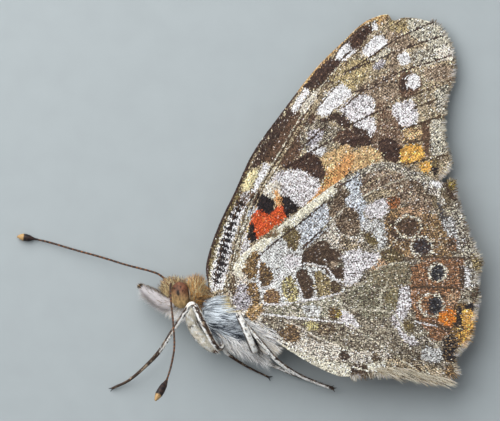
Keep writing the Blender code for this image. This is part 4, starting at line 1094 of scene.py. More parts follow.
def eyespot(centre, ring, core, shift, flecks, inner, middle, dust):
    """A dark round mark within a pale ring, dusted with blue-grey or brown."""
    return [
        ("umber", "rust", 0.3, oval(centre, *ring)),
        ("cream", "umber", flecks, oval(centre, ring[0] * 0.92, ring[1] * 0.92)),
        (inner, "umber", 0.35, oval(centre, ring[0] * 0.76, ring[1] * 0.76)),
        (middle, dust, 0.35, oval((centre[0] + shift, centre[1]), *core)),
    ]


def paint_hindwing(points, rng):
    """The underside of the hindwing, with its eyespots and the bright marks at its corner over them."""
    marks = list(HINDWING_MARKS)
    for row in EYESPOTS:
        marks.extend(eyespot(*row))
    return paint(points, ("stone", "umber", 0.35), marks + CORNER_MARKS, HINDWING_LINES, rng, 0.87)


def paint_inner(points, rng):
    """The upper side, which faces the other wings: orange-brown with a dark tip and a dusky base."""
    dusk = smoothstep(points[:, 1], 14.0, 21.0) + smoothstep(-points[:, 0], -3.0, 1.0) * 0.6
    dusk = np.clip(dusk + 0.25 * cloud(points, 1.8, 31), 0.0, 1.0)[:, None]
    tones = linear("ochre") * (1.0 - dusk) + linear("dark") * dusk
    return np.clip(tones * rng.uniform(0.85, 1.1, len(points))[:, None], 0.0, 1.0)


# Wings
def body_rise(points):
    """1 over the abdomen, falling to 0 a few millimetres to its sides."""
    return np.exp(-(away(points, [np.array(ABDOMEN_LINE)]) / ABDOMEN_REACH) ** 2)


def wing_height(name):
    """The height of a wing's middle, as a function of the place in the plane."""
    level, rise, droop, axis, start, end = WING_HEIGHTS[name]

    def height(points):
        return level + rise * body_rise(points) - droop * smoothstep(points[:, axis], start, end)

    return height


def forewing_fringed(points):
    """The outer margin grows fringe."""
    return (points[:, 0] > FOREWING_FRINGE_FROM[0]) & (points[:, 1] > FOREWING_FRINGE_FROM[1])


def hindwing_fringed(points):
    """The outer margin and the outer half of the lower edge grow fringe."""
    outer, lower, below = HINDWING_FRINGE_FROM
    return (points[:, 0] > outer) | ((points[:, 1] < below) & (points[:, 0] > lower))


def hidden_by_hindwing(points):
    """Part of the forewing that lies well under the hindwing."""
    ring = spline(HINDWING_EDGE, True, EDGE_STEP)
    return inside(points, ring) & (away(points, [closed(ring)]) > HINDWING_COVER)


def wing_plan(edge, veins, share, fringed):
    """The membrane's outline, drawn in from the wing's edge where fringe grows, and its vein lines."""
    base = np.array(FAR_SIDE_CENTRE)
    rim = base + share * (spline(edge, True, EDGE_STEP) - base)
    ways = unit(np.roll(rim, -1, axis=0) - np.roll(rim, 1, axis=0))
    area = np.sum(rim[:, 0] * np.roll(rim[:, 1], -1) - np.roll(rim[:, 0], -1) * rim[:, 1])
    outward = left_of(ways) * (-1.0 if area > 0 else 1.0)
    inset = np.where(fringed(rim), FRINGE_INSET, MEMBRANE_INSET)
    inset = np.convolve(np.concatenate([inset[-3:], inset, inset[:3]]), np.ones(7) / 7.0, "valid")
    crests = [base + share * (spline(vein, False, VEIN_STEP) - base) for vein in veins.values()]
    return rim - outward * inset[:, None], outward, crests


def relief(points, crests):
    """Veins stand up as ridges, and the membrane sags a little between them."""
    gap = away(points, crests)
    return VEIN_HEIGHT * np.exp(-(gap / VEIN_WIDTH) ** 2) - VEIN_SAG * smoothstep(gap, 0.1, 1.1)


def vein_rows(ring, crests):
    """Rows of points on each vein and on both its sides, and the edges that join them."""
    spots = []
    edges = []
    for crest in crests:
        ways = unit(np.gradient(crest, axis=0))
        for shift in VEIN_ROWS:
            moved = crest + shift * left_of(ways)
            good = inside(moved, ring) & (away(moved, [closed(ring)]) > RIM_CLEARANCE)
            if shift:
                good &= away(moved, crests) > ROW_CLEARANCE
            joined = False
            for spot, use in zip(moved, good):
                if use:
                    spots.append(spot)
                if use and joined:
                    edges.append((len(spots) - 2, len(spots) - 1))
                joined = use
    return np.array(spots), edges


def fill_spots(ring, crests):
    """A staggered grid of points between rim and veins."""
    low = ring.min(axis=0)
    high = ring.max(axis=0)
    columns, rows = np.meshgrid(np.arange(low[0], high[0], FILL_STEPS[0]),
                                np.arange(low[1], high[1], FILL_STEPS[1]))
    columns[::2] += FILL_STEPS[0] / 2
    fill = np.stack([columns.ravel(), rows.ravel()], axis=1)
    fill = fill[inside(fill, ring)]
    return fill[(away(fill, [closed(ring)]) > RIM_CLEARANCE) & (away(fill, crests) > FILL_CLEARANCE)]


def membrane(name, plan, height, side, painter, surface):
    """A closed thin sheet that follows the wing's height, veins and outline."""
    ring, _, crests = plan
    spots, edges = vein_rows(ring, crests)
    edges = [(a + len(ring), b + len(ring)) for a, b in edges]
    spots = np.vstack([ring, spots, fill_spots(ring, crests)])
    flat, _, triangles, _, _, _ = geometry.delaunay_2d_cdt(
        [Vector(spot) for spot in spots], edges, [list(range(len(ring)))], 1, 1e-4)
    flat = np.array([tuple(spot) for spot in flat])
    triangles = np.array(triangles)
    middle = height(flat) + relief(flat, crests) * side
    top = middle + MEMBRANE / 2
    bottom = np.maximum(middle - MEMBRANE / 2, SHEET_FLOOR)
    count = len(flat)
    seen = {(row[i], row[i - 2]) for row in triangles for i in range(3)}
    sides = np.array([(a, a + count, b + count, b) for a, b in sorted(seen) if (b, a) not in seen])
    rng = np.random.default_rng(SEEDS["membrane"])
    tints = [painter(flat, rng), paint_inner(flat, rng)][::side]
    solid = np.vstack([np.column_stack([flat, top]), np.column_stack([flat, bottom])])
    return make_mesh(name, solid, [triangles, triangles[:, ::-1] + count, sides], np.vstack(tints), surface)


def scale_roots(ring, apart, across, rng):
    """Roots in rows round the wing's base, each row shifted by half a scale."""
    base = np.array(WING_BASE)
    far = np.linalg.norm(ring - base, axis=1).max()
    found = []
    for number, radius in enumerate(np.arange(apart, far, apart)):
        step = across / radius
        angles = np.arange(*SCALE_ARC, step) + (number % 2) * step / 2
        angles = angles + rng.uniform(-0.25, 0.25, len(angles)) * step
        reach = radius + rng.uniform(-0.2, 0.2, len(angles)) * apart
        found.append(np.stack([base[0] + reach * np.cos(angles), base[1] + reach * np.sin(angles)], axis=1))
    found = np.vstack(found)
    return found[inside(found, ring)]


def plan_map(points, ring):
    """A flat outline's own plan as map places from 0 to 1."""
    low = ring.min(axis=0) - MAP_MARGIN
    return (points - low) / (ring.max(axis=0) + MAP_MARGIN - low).max()


def scale_mesh(name, roots, ways, lengths, widths, base_z, tip_z, tints, ring, surface, side=1):
    """Small overlapping scales, each narrow at its root, broad in the middle and blunt at its tip."""
    across = left_of(ways)
    home = plan_map(roots, ring)
    rows = []
    for along, wide, belly in SCALE_STATIONS:
        z = base_z + (tip_z - base_z) * along + side * belly
        for hand in (-1.0, 1.0):
            flat = roots + ways * (lengths * along)[:, None] + across * (widths * wide * hand)[:, None]
            place = home + MAP_PATCH * (ways * (2.0 * along - 1.0) + across * wide * 2.0 * hand)
            # Each scale is painted darker at its root and lighter at its tip, as painted shade under the
            # scale that overlaps it.
            rows.append((np.column_stack([flat, z]), tints * (0.86 + 0.16 * along), place))
    order = ((0, 1, 3, 2), (2, 3, 5, 4)) if side > 0 else ((2, 3, 1, 0), (4, 5, 3, 2))
    return coat_mesh(name, rows, [order], surface)


def wing_scales(name, plan, height, side, painter, surface, grid, seed, fringed, hidden):
    """The coat of scales on a wing's outward face."""
    ring, _, crests = plan
    rng = np.random.default_rng(seed)
    apart, across, size = grid
    roots = scale_roots(ring, apart, across, rng)
    if hidden is not None:
        roots = roots[~hidden(roots)]
    ways = unit(roots - np.array(WING_BASE))
    ways = np.stack(turned(ways[:, 0], ways[:, 1], rng.normal(0.0, 0.12, len(roots))), axis=1)
    lengths = SCALE_LENGTH * size * rng.uniform(0.85, 1.2, len(roots))
    widths = SCALE_WIDTH * size * rng.uniform(0.8, 1.15, len(roots))
    kept = inside(roots + ways * lengths[:, None], ring) | fringed(roots)
    roots, ways, lengths, widths = (part[kept] for part in (roots, ways, lengths, widths))
    tips = roots + ways * lengths[:, None]
    base_z, tip_z = (height(spots) + side * (relief(spots, crests) + MEMBRANE / 2) for spots in (roots, tips))
    base_z = np.maximum(base_z + side * 0.004, COAT_FLOOR)
    tip_z = np.maximum(tip_z + side * rng.uniform(0.03, 0.07, len(roots)), COAT_FLOOR)
    tints = painter(roots + ways * 0.5 * lengths[:, None], rng)
    return scale_mesh(name, roots, ways, lengths, widths, base_z, tip_z, tints, ring, surface, side)


def fringe(name, plan, height, fringed, painter, surface, seed):
    """Hair-scales that stand out along the wing's margin, darker at the ends of the veins."""
    ring, outward, crests = plan
    rng = np.random.default_rng(seed)
    length = lengths_along(closed(ring))
    at = np.repeat(np.arange(0.0, length[-1], FRINGE_APART), 2)
    at = at + rng.uniform(-0.02, 0.02, len(at))
    roots, ways = (np.stack([np.interp(at, length, closed(line)[:, k]) for k in (0, 1)], axis=1)
                   for line in (ring, outward))
    keep = fringed(roots)
    roots = roots[keep]
    radial = unit(roots - np.array(WING_BASE))
    ways = unit(unit(ways[keep]) + 0.35 * radial + rng.normal(0.0, 0.12, roots.shape))
    count = len(roots)
    roots = roots - ways * rng.uniform(0.05, 0.3, count)[:, None]
    lengths = FRINGE_REACH * rng.uniform(0.7, 2.1, count)
    widths = rng.uniform(0.03, 0.055, count)
    ends = np.array([crest[-1] for crest in crests])
    near = np.min(np.linalg.norm(roots[:, None] - ends[None], axis=2), axis=1)
    dusky = (near < 0.5 + 0.3 * cloud(roots, 0.6, 41)) | (cloud(roots, 0.9, 42) < -0.25)
    dusky &= rng.random(count) < 0.8
    dark = mixed(count, rng, {"umber": 0.4, "drab": 0.35, "taupe": 0.25})
    pale = mixed(count, rng, {"white": 0.35, "cream": 0.3, "pale": 0.2, "taupe": 0.15})
    tints = 0.55 * np.where(dusky[:, None], dark, pale) + 0.45 * painter(roots, rng)
    z = height(roots) + rng.uniform(-0.05, 0.07, count)
    tip_z = np.maximum(z + rng.uniform(-0.08, 0.06, count), SHEET_FLOOR)
    base_z = np.maximum(z, SHEET_FLOOR)
    return scale_mesh(name, roots, ways, lengths, widths, base_z, tip_z, tints, ring, surface)


# Hair
def blades(name, roots, normals, lies, lengths, widths, lifts, droops, tints, tips, home, surface):
    """Thin tapered hairs that leave the skin at an angle and lean back along their lie."""
    lies = unit(lies - normals * np.sum(lies * normals, axis=1)[:, None])
    side = unit(np.cross(normals, lies))
    heading = unit(lies * np.cos(lifts)[:, None] + normals * np.sin(lifts)[:, None])
    rows = []
    for t, wide in HAIR_STATIONS:
        middle = roots + heading * (lengths * t)[:, None] - normals * (droops * lengths * t * t)[:, None]
        for hand in ((-0.5, 0.5) if wide else (0.0,)):
            spots = middle + side * (widths * wide * hand)[:, None]
            spots[:, 2] = np.maximum(spots[:, 2], COAT_FLOOR)
            place = home + MAP_PATCH * np.array([2.0 * t - 1.0, 2.0 * hand * wide])
            # The colour runs from the root tint to the tip tint; most callers give a darker root, as painted
            # shade among the hairs.
            rows.append((spots, tints * (1.0 - t) + tips * t, place))
    return coat_mesh(name, rows, [((0, 2, 3, 1), (2, 4, 5, 3)), ((4, 6, 5),)], surface)


def scatter(mesh, density, rng):
    """Points spread evenly over a mesh in millimetres, with the face normal at each."""
    mesh.calc_loop_triangles()
    corners = np.empty(len(mesh.loop_triangles) * 3, np.int32)
    mesh.loop_triangles.foreach_get("vertices", corners)
    a, b, c = mesh_spots(mesh)[corners.reshape(-1, 3).T]
    cross = np.cross(b - a, c - a)
    area = np.linalg.norm(cross, axis=1) / 2.0
    total = int(area.sum() * density)
    chosen = rng.choice(len(area), total, p=area / area.sum())
    u = rng.random(total)
    v = rng.random(total)
    flip = u + v > 1.0
    u[flip] = 1.0 - u[flip]
    v[flip] = 1.0 - v[flip]
    return a[chosen] + (b - a)[chosen] * u[:, None] + (c - a)[chosen] * v[:, None], unit(cross)[chosen]


# Body
def body_skin(surface):
    """One skin over thorax, neck, head and abdomen, melted together."""
    points = np.empty((0, 3))
    faces = []
    for centre, radii, turn in BODY_FORMS:
        _, more, sheets = ball(centre, radii, turn, *FORM_GRID)
        faces.append(sheets + len(points))
        points = np.vstack([points, more])
    rough = make_mesh("body_forms", points, faces, np.ones((len(points), 3)), surface)
    remesh = rough.modifiers.new("melt", "REMESH")
    remesh.mode = "VOXEL"
    remesh.voxel_size = MELT_SIZE * MM
    rough.modifiers.new("soften", "SMOOTH").iterations = SOFTEN_ROUNDS
    mesh = bpy.data.meshes.new_from_object(rough.evaluated_get(bpy.context.evaluated_depsgraph_get()))
    bpy.data.objects.remove(rough)
    for layer in list(mesh.color_attributes):
        mesh.color_attributes.remove(layer)
    add_tint(mesh, body_tint(mesh_spots(mesh), np.random.default_rng(SEEDS["body_skin"])) * 0.6)
    mesh.polygons.foreach_set("use_smooth", np.ones(len(mesh.polygons), bool))
    mesh.materials.clear()
    mesh.materials.append(surface)
    return put("body_skin", mesh)


def body_axes(spots):
    """How far along the body a place is, from the head end, and how far to its back."""
    return turned(spots[:, 0], spots[:, 1], -math.radians(BODY_TILT))


def body_tint(spots, rng):
    """Hair colours: gold on head and collar, silver-blue on the side, cream below and olive by the wings."""
    x, y, _ = spots.T
    along, back = body_axes(spots)
    patch = cloud(spots[:, :2], 0.7, 51) * 0.4 + rng.uniform(-0.5, 0.5, len(spots))
    patch -= 0.2 * np.exp(-((back + 0.9) / 0.5) ** 2) * (along > -2.2)
    cream = (back + patch * 0.8 > 1.25) & (along > -2.2)
    neck = (along < -3.3) | (x < -2.75)
    face = x < -4.2
    chin = face & (y + 0.35 * patch < 2.4)
    tail = x > 3.2
    rows = (
        (patch < -0.04, "steel"),
        ((patch < -0.24) & (along > -2.4), "blue_black"),
        (cream, "cream_yellow"),
        (cream & (patch < -0.15), "olive"),
        ((back + patch < -1.5) & (patch > -0.2), "fleece"),
        (neck, "tan"),
        (neck & (patch > 0.0), "gold"),
        (neck & (patch < -0.2), "brown"),
        (neck & (patch > 0.36), "cream_yellow"),
        (neck & (back < 0.2) & (patch < 0.15), "brown"),
        (neck & (back < -0.7), "fleece"),
        (face, "tan"),
        (face & (patch < -0.1), "brown"),
        (face & (patch > 0.3), "cream_yellow"),
        (chin, "white"),
        (chin & (patch < -0.3), "taupe"),
        (face & (np.abs(y - 2.55 - 0.22 * (x + 5.0)) < 0.12), "dark"),
        (tail, "fleece"),
        (tail & (patch < -0.25), "taupe"),
    )
    tint = np.tile(linear("silver"), (len(spots), 1))
    for where, tone in rows:
        tint[where] = linear(tone)
    return tint


def hair_lies(roots, zones, rng):
    """Which way the body's hair lies: back towards the tail, fanned out below, up on head and neck,
    and down on the face."""
    count = len(roots)
    _, back = body_axes(roots)
    lies = np.tile([*turned(1.0, 0.0, math.radians(HAIR_LIE)), 0.0], (count, 1))
    lies += smoothstep(-back, 0.6, 2.2)[:, None] * np.array([0.1, -0.8, 0.0])
    lies[:, 1] += 0.35 * cloud(roots[:, :2], 1.1, 53)
    lies += rng.normal(0.0, 0.12, (count, 3))
    for zone in ("head", "face", "neck"):
        way, spread, _ = HAIR_ZONES[zone]
        where = zones[zone]
        lies[where] = unit(np.array(way) + rng.normal(0.0, spread, (where.sum(), 3)))
    return lies


def body_hair(skin, surface):
    """Long silky hair on the thorax, a golden ruff on the collar and short hair on head and abdomen."""
    rng = np.random.default_rng(SEEDS["body_hair"])
    roots, normals = scatter(skin.data, HAIR_DENSITY, rng)
    keep = (roots[:, 0] <= TAIL_FROM) | (rng.random(len(roots)) < TAIL_SHARE)
    roots = roots[keep]
    normals = normals[keep]
    count = len(roots)
    front = roots[:, 0] < NECK_FROM
    head = roots[:, 0] < HEAD_FROM
    zones = {"neck": front & ~head, "head": head, "face": head & (roots[:, 1] < FACE_BELOW)}
    lies = hair_lies(roots, zones, rng)
    lengths = rng.uniform(0.8, 1.6, count)
    for zone, where in zones.items():
        _, _, limits = HAIR_ZONES[zone]
        lengths[where] = rng.uniform(*limits, where.sum())
    lengths[roots[:, 0] > TAIL_FROM] *= 0.5
    widths = rng.uniform(0.025, 0.048, count)
    widths[front] *= 0.8
    lifts = np.radians(rng.uniform(6.0, 24.0, count))
    lifts[front] += np.radians(rng.uniform(5.0, 40.0, front.sum()))
    droops = rng.uniform(0.05, 0.22, count)
    tints = body_tint(roots, rng) * rng.uniform(0.8, 1.15, count)[:, None]
    start = roots[:, 0].min()
    angle = np.arctan2(roots[:, 2] - MIDLINE_Z, body_axes(roots)[1]) / TAU + 0.5
    home = np.column_stack([(roots[:, 0] - start) / (roots[:, 0].max() - start), angle])
    # Each hair is painted darker at its root and lighter at its tip, as painted shade deep in the coat.
    parts = (roots, normals, lies, lengths, widths, lifts, droops, tints * 0.8, tints * 1.1, home)
    bare = under_eye(roots)
    return blades("body_hair", *(part[~bare] for part in parts), surface)


def eye_centre(side):
    return np.array([*EYE_AT, MIDLINE_Z + side * EYE_APART / 2])


def under_eye(spots):
    """Places that an eye covers, where no hair grows."""
    gaps = [(spots - eye_centre(side)) / (np.array(EYE_RADII) * EYE_CLEARANCE) for side in (1, -1)]
    return np.any([np.linalg.norm(gap, axis=1) < 1.0 for gap in gaps], axis=0)


def eye(word, side, surface):
    """A compound eye, reddish brown above and tan below, with dark false pupils, a pale rim and painted shade
    in the groove just inside the rim.
    """
    plain, spots, faces = ball(eye_centre(side), EYE_RADII, EYE_TURN, *EYE_GRID)
    x, y, _ = plain.T
    upper = linear("brown") * np.array([1.15, 0.84, 0.74])
    lower = linear("fawn") * np.array([1.0, 0.85, 0.75])
    share = smoothstep(-y - 0.25 * x, -0.5, 0.65)[:, None]
    tints = upper * (1.0 - share) + lower * share
    tints *= (1.0 + 0.28 * cloud(plain[:, :2], 0.3, 72) + 0.4 * cloud(plain[:, :2], 0.12, 73))[:, None]
    for at_x, at_y, wide, high, depth in EYE_PUPILS:
        gap = np.hypot((x - at_x) / wide, (y - at_y) / high)
        tints *= 1.0 - depth * (1.0 - smoothstep(gap, 0.6, 1.4))[:, None]
    rim = smoothstep(x, 0.85, 0.91)[:, None]
    # A band just inside the rim is darkened: painted shade of a groove that the mesh does not have.
    groove_shade = (1.0 - smoothstep(np.abs(x - 0.83), 0.03, 0.08))[:, None]
    tints = (tints * (1.0 - rim) + linear("fleece") * rim) * (1.0 - 0.8 * groove_shade)
    settle(make_mesh("eye_" + word, spots, [faces], tints, surface), "eye_surface", "eye_" + word)


# Limbs
def limb_frame(path, step):
    """Even stations along a limb: place, way, two sides and the radius."""
    line = spline(path, False, step)
    ways = unit(np.gradient(line[:, :3], axis=0))
    sides = []
    side = np.cross(ways[0], (0.0, 0.0, 1.0))
    for way in ways:
        side = unit(side - way * np.dot(side, way))
        sides.append(side)
    sides = np.array(sides)
    return line[:, :3], ways, sides, np.cross(sides, ways), line[:, 3]


def limb_skin(name, path, slim, tint_of, surface, slot, rng, step=0.16, flat=1.0):
    """A round or flattened limb, slimmed by share of its length and closed at both ends."""
    places, ways, sides, ups, radii = limb_frame(path, step)
    rings = len(places)
    radii = np.maximum(radii * np.interp(np.linspace(0.0, 1.0, rings), *slim), THINNEST)
    ring = np.arange(LIMB_AROUND)
    angles = TAU * ring / LIMB_AROUND
    round_ways = (np.cos(angles)[None, :, None] * sides[:, None]
                  + flat * np.sin(angles)[None, :, None] * ups[:, None])
    shell = (places[:, None] + radii[:, None, None] * round_ways).reshape(-1, 3)
    start = places[0] - ways[0] * radii[0] * START_BULGE
    end = places[-1] + ways[-1] * radii[-1] * END_BULGE
    points = np.vstack([shell, start, end])
    points[:, 2] = np.maximum(points[:, 2], SHEET_FLOOR)
    quads = tube_faces(rings, LIMB_AROUND)[:, [0, 3, 2, 1]]
    after = (ring + 1) % LIMB_AROUND
    last = (rings - 1) * LIMB_AROUND
    start_cap = np.column_stack([np.full(LIMB_AROUND, len(shell)), after, ring])
    end_cap = np.column_stack([last + ring, last + after, np.full(LIMB_AROUND, len(shell) + 1)])
    share = np.append(np.repeat(np.linspace(0.0, 1.0, rings), LIMB_AROUND), [0.0, 1.0])
    turn = np.append(np.tile(angles, rings), [0.0, 0.0])
    tints = np.clip(tint_of(share, turn, rng), 0.0, 1.0)
    settle(make_mesh(name, points, [quads, np.vstack([start_cap, end_cap])], tints, surface), slot, name)
    return places, ways, sides, ups, radii


def limb_hair(name, frames, coat, tint_of, surface, slot, rng, flat=1.0, span=(0.0, 1.0)):
    """Scales or hairs that lie along a limb towards its tip."""
    places, ways, sides, ups, radii = frames
    count, length, width, lift = coat
    at = rng.uniform(*span, count) * (len(places) - 1)
    low = np.minimum(at.astype(int), len(places) - 2)
    part = (at - low)[:, None]
    middle, way, radius = (values[low] * (1.0 - part) + values[low + 1] * part
                           for values in (places, ways, radii[:, None]))
    angle = rng.uniform(0.0, TAU, count)
    across = np.cos(angle)[:, None] * sides[low]
    up = np.sin(angle)[:, None] * ups[low]
    roots = middle + radius * (across + flat * up) * 0.97
    share = at / (len(places) - 1)
    tints = tint_of(share, angle, rng)
    lies = unit(way) + rng.normal(0.0, 0.1, (count, 3))
    lengths = length * rng.uniform(0.7, 1.3, count)
    widths = width * rng.uniform(0.7, 1.2, count)
    lifts = np.radians(rng.uniform(0.4, 1.4, count) * lift)
    home = np.column_stack([share, angle / TAU])
    # Each scale is painted a tenth lighter at its tip than at its root, as painted shade at the root.
    settle(blades(name, roots, unit(across + up), lies, lengths, widths, lifts, np.full(count, 0.1),
                  tints, tints * 1.1, home, surface), slot)


def claws(name, frames, surface):
    """Two small hooked claws at the end of a foot."""
    places, ways, sides, _, _ = frames
    roots = np.tile(places[-1] + np.array([0.0, 0.0, 0.02]), (2, 1))
    lies = ways[-1] + sides[-1] * np.array([[0.75], [-0.75]])
    tints = np.tile(linear("black"), (2, 1))
    lengths, widths, lifts, droops = (np.full(2, value) for value in CLAW_SHAPE)
    settle(blades(name, roots, np.tile((0.0, 0.0, 1.0), (2, 1)), lies, lengths, widths, lifts, droops,
                  tints, tints, np.full((2, 2), 0.5), surface), "leg_scales")


def leg_tint(dark_from, speckle):
    """White scales with dark specks, sides painted dark as shade where the leg turns away from the light
    above, and a dark foot from the given share of the leg on.
    """
    def tint(share, turn, rng):
        count = len(share)
        white = mixed(count, rng, {"chalk": 0.8, "fleece": 0.2, "black": speckle * 0.4})
        blots = cloud(np.column_stack([share * 52.0, turn * 1.6]), 1.0, 91)
        white[blots < speckle * 1.6 - 0.95] = linear("black")
        dark = mixed(count, rng, {"dark": 0.5, "umber": 0.3, "black": 0.2})
        dark[blots > 0.62] = linear("taupe")
        edge = share + rng.normal(0.0, 0.012, count) > dark_from
        # The sides of the leg are painted dark as shade, where the round leg turns away from the light above;
        # the dark foot is its own colour.
        edge |= (np.abs(np.sin(turn)) < 0.7) & (rng.random(count) < 0.92) & (np.abs(share - 0.365) > 0.02)
        return np.where(edge[:, None], dark, white)

    return tint


def thigh_tint(white_to, dark_from):
    """A speckled leg with a dark stripe along its thigh, which ends at the given share of the leg: dark hair
    with painted shade in the gap beside the shin.
    """
    def tint(share, turn, rng):
        tones = leg_tint(dark_from, 0.22)(share, turn, rng)
        # The stripe is partly dark hair and partly painted shade in the gap between thigh and shin.
        dark_hair_and_gap_shade = (np.cos(turn - 0.7) > 0.72) & (share < white_to) & (share > 0.05)
        tones[dark_hair_and_gap_shade] = mixed(dark_hair_and_gap_shade.sum(), rng, {"black": 0.7, "umber": 0.3})
        return tones

    return tint


def foreleg_tint(share, turn, rng):
    """Grey-beige scales with a dark joint, sides painted dark as shade, and a dark end."""
    tint = mixed(len(share), rng, {"pale": 0.4, "fleece": 0.2, "dove": 0.25, "stone": 0.15})
    # The sides are painted dark as shade, where the leg turns away from the light above; the joint line is
    # its own colour.
    joint_and_side_shade = (np.abs(share - 0.36 - 0.03 * np.sin(turn)) < 0.012) | (np.abs(np.sin(turn)) < 0.3)
    tint[joint_and_side_shade] = mixed(joint_and_side_shade.sum(), rng, {"black": 0.45, "umber": 0.25, "chalk": 0.3})
    ends = share > 0.93
    tint[ends] = mixed(ends.sum(), rng, {"umber": 0.5, "brown": 0.5})
    return tint


def feeler_tint(share, turn, rng):
    """Dark rings edged with brown scales, and a black club with a tan tip."""
    count = len(share)
    tint = mixed(count, rng, {"dark": 0.5, "black": 0.2, "umber": 0.3})
    band = ((share * 34.0) % 1.0 < 0.25) & (share < 0.86)
    tint[band] = mixed(band.sum(), rng, {"brown": 0.6, "sienna": 0.4})
    club = share > 0.87
    tint[club] = mixed(club.sum(), rng, {"black": 0.6, "dark": 0.4})
    tint[share > 0.965] = linear("tan")
    return tint


def palp_tint(share, turn, rng):
    """White and lilac hair, with dark hair on top and at the tip."""
    tint = mixed(len(share), rng, {"white": 0.6, "lilac_white": 0.3, "taupe": 0.07, "dark": 0.03})
    top = (np.cos(turn) > 0.8) | (share > 0.93)
    tint[top] = mixed(top.sum(), rng, {"tan": 0.3, "umber": 0.4, "black": 0.3})
    return tint


def plain_tint(shares):
    """One mixture of tones all along a limb."""
    return lambda share, turn, rng: mixed(len(share), rng, shares)


def palp(word, side, skin, hair):
    """A feeler of the mouth, thick with hair, held up in front of the face."""
    path = [(x, y, MIDLINE_Z + side * 0.6, radius) for x, y, radius in PALP_PATH]
    rng = np.random.default_rng(SEEDS["palp"] + side)
    name = "palp_" + word
    frames = limb_skin(name, path, PALP_SLIM, palp_tint, skin, "pale_hair", rng, flat=PALP_FLAT)
    limb_hair(name + "_hair", frames, COATS["palp"], palp_tint, hair, "pale_hair", rng, PALP_FLAT)
    beard(name + "_beard", frames, hair, rng)


def beard(name, frames, hair, rng):
    """Long pale hair that hangs from the lower edge of a palp."""
    places, ways, _, _, radii = frames
    count = BEARD_HAIRS
    at = rng.uniform(0.0, 0.8, count) * (len(places) - 1)
    low = at.astype(int)
    normal = unit(np.cross(ways[low], (0.0, 0.0, 1.0)) + rng.normal(0.0, 0.5, (count, 3)) * (0.2, 0.2, 1.0))
    normal *= np.where(normal[:, 1] > 0.0, -1.0, 1.0)[:, None]
    roots = places[low] + normal * (radii[low] * 0.6)[:, None]
    lies = unit(ways[low] + rng.normal(0.0, 0.15, (count, 3)))
    lengths = rng.uniform(0.6, 1.25, count)
    tints = mixed(count, rng, {"white": 0.5, "lilac_white": 0.25, "fleece": 0.15, "taupe": 0.1})
    home = np.column_stack([at / len(places), rng.random(count)])
    widths = rng.uniform(0.02, 0.035, count)
    lifts = np.radians(rng.uniform(15.0, 60.0, count))
    settle(blades(name, roots, normal, lies, lengths, widths, lifts, np.full(count, 0.05), tints, tints,
                  home, hair), "pale_hair")


# Loose hair
def belly_height(spots):
    """Height of the thorax's upper side, which levels off at its edge."""
    along, back = body_axes(spots)
    _, (half_x, half_y, half_z), _ = BODY_FORMS[0]
    left = 1.0 - (along / half_x) ** 2 - (back / half_y) ** 2
    return MIDLINE_Z + 0.02 + half_z * np.sqrt(np.maximum(left, 0.04))


def field_hair(name, outline, base, rise, count, size, lie, spread, lift, shares, slot, seed, surface):
    """Long loose hairs that lie over a patch of the wing or stand out past the body."""
    height = wing_height("hindwing_left") if base == "hindwing" else belly_height
    rng = np.random.default_rng(seed)
    shape = on_grid(outline)
    spots = rng.uniform(shape.min(axis=0), shape.max(axis=0), (count * 4, 2))
    spots = spots[inside(spots, shape)][:count]
    total = len(spots)
    roots = np.column_stack([spots, height(spots) + rise])
    normals = unit(np.array([0.0, 0.0, 1.0]) + rng.normal(0.0, 0.12, (total, 3)))
    lies = unit(np.array([*lie, 0.0]) + rng.normal(0.0, spread, (total, 3)))
    lengths = size[0] * rng.uniform(0.6, 1.3, total)
    tints = mixed(total, rng, shares)
    widths = size[1] * rng.uniform(0.7, 1.2, total)
    lifts = np.radians(rng.uniform(2.0, lift, total))
    droops = rng.uniform(0.02, 0.12, total)
    # Each hair is painted darker at its root and lighter at its tip, as painted shade among the hairs.
    settle(blades(name, roots, normals, lies, lengths, widths, lifts, droops, tints * 0.85,
                  np.minimum(tints * 1.1, 0.95), plan_map(spots, shape), surface), slot)


# Stage
def lay_floor():
    """A plain pale floor."""
    mesh = bpy.data.meshes.new("floor")
    corners = [(x * FLOOR_HALF, y * FLOOR_HALF, 0.0) for x, y in ((-1, -1), (1, -1), (1, 1), (-1, 1))]
    mesh.from_pydata(corners, [], [(0, 1, 2, 3)])
    mesh.materials.append(paper_material())
    put("floor", mesh)


def light_room():
    """Soft light from all round, with a larger share from the upper left."""
    world = bpy.data.worlds.new("soft_room")
    bpy.context.scene.world = world
    world.use_nodes = True
    set_sockets(world.node_tree.nodes["Background"], {"Color": ROOM_TONE, "Strength": ROOM_LIGHT})
    for name, (place, size, power) in LAMPS.items():
        lamp = bpy.data.lights.new(name, "AREA")
        lamp.shape = "DISK"
        lamp.size = size
        lamp.energy = power
        held = put(name, lamp)
        held.location = place
        held.rotation_euler = (Vector(LAMP_AIM) - Vector(place)).to_track_quat("-Z", "Y").to_euler()


def hold_camera():
    """A camera that looks straight down from above the middle of the frame."""
    bpy.context.scene.view_settings.view_transform = "Standard"
    view = bpy.data.cameras.new("camera")
    view.lens = view.sensor_width * CAMERA_HEIGHT / FRAME_WIDTH
    view.clip_start, view.clip_end = CAMERA_REACH
    camera = put("camera", view)
    camera.location = Vector(FRAME_MIDDLE) + Vector((0.0, 0.0, CAMERA_HEIGHT))
    bpy.context.scene.camera = camera


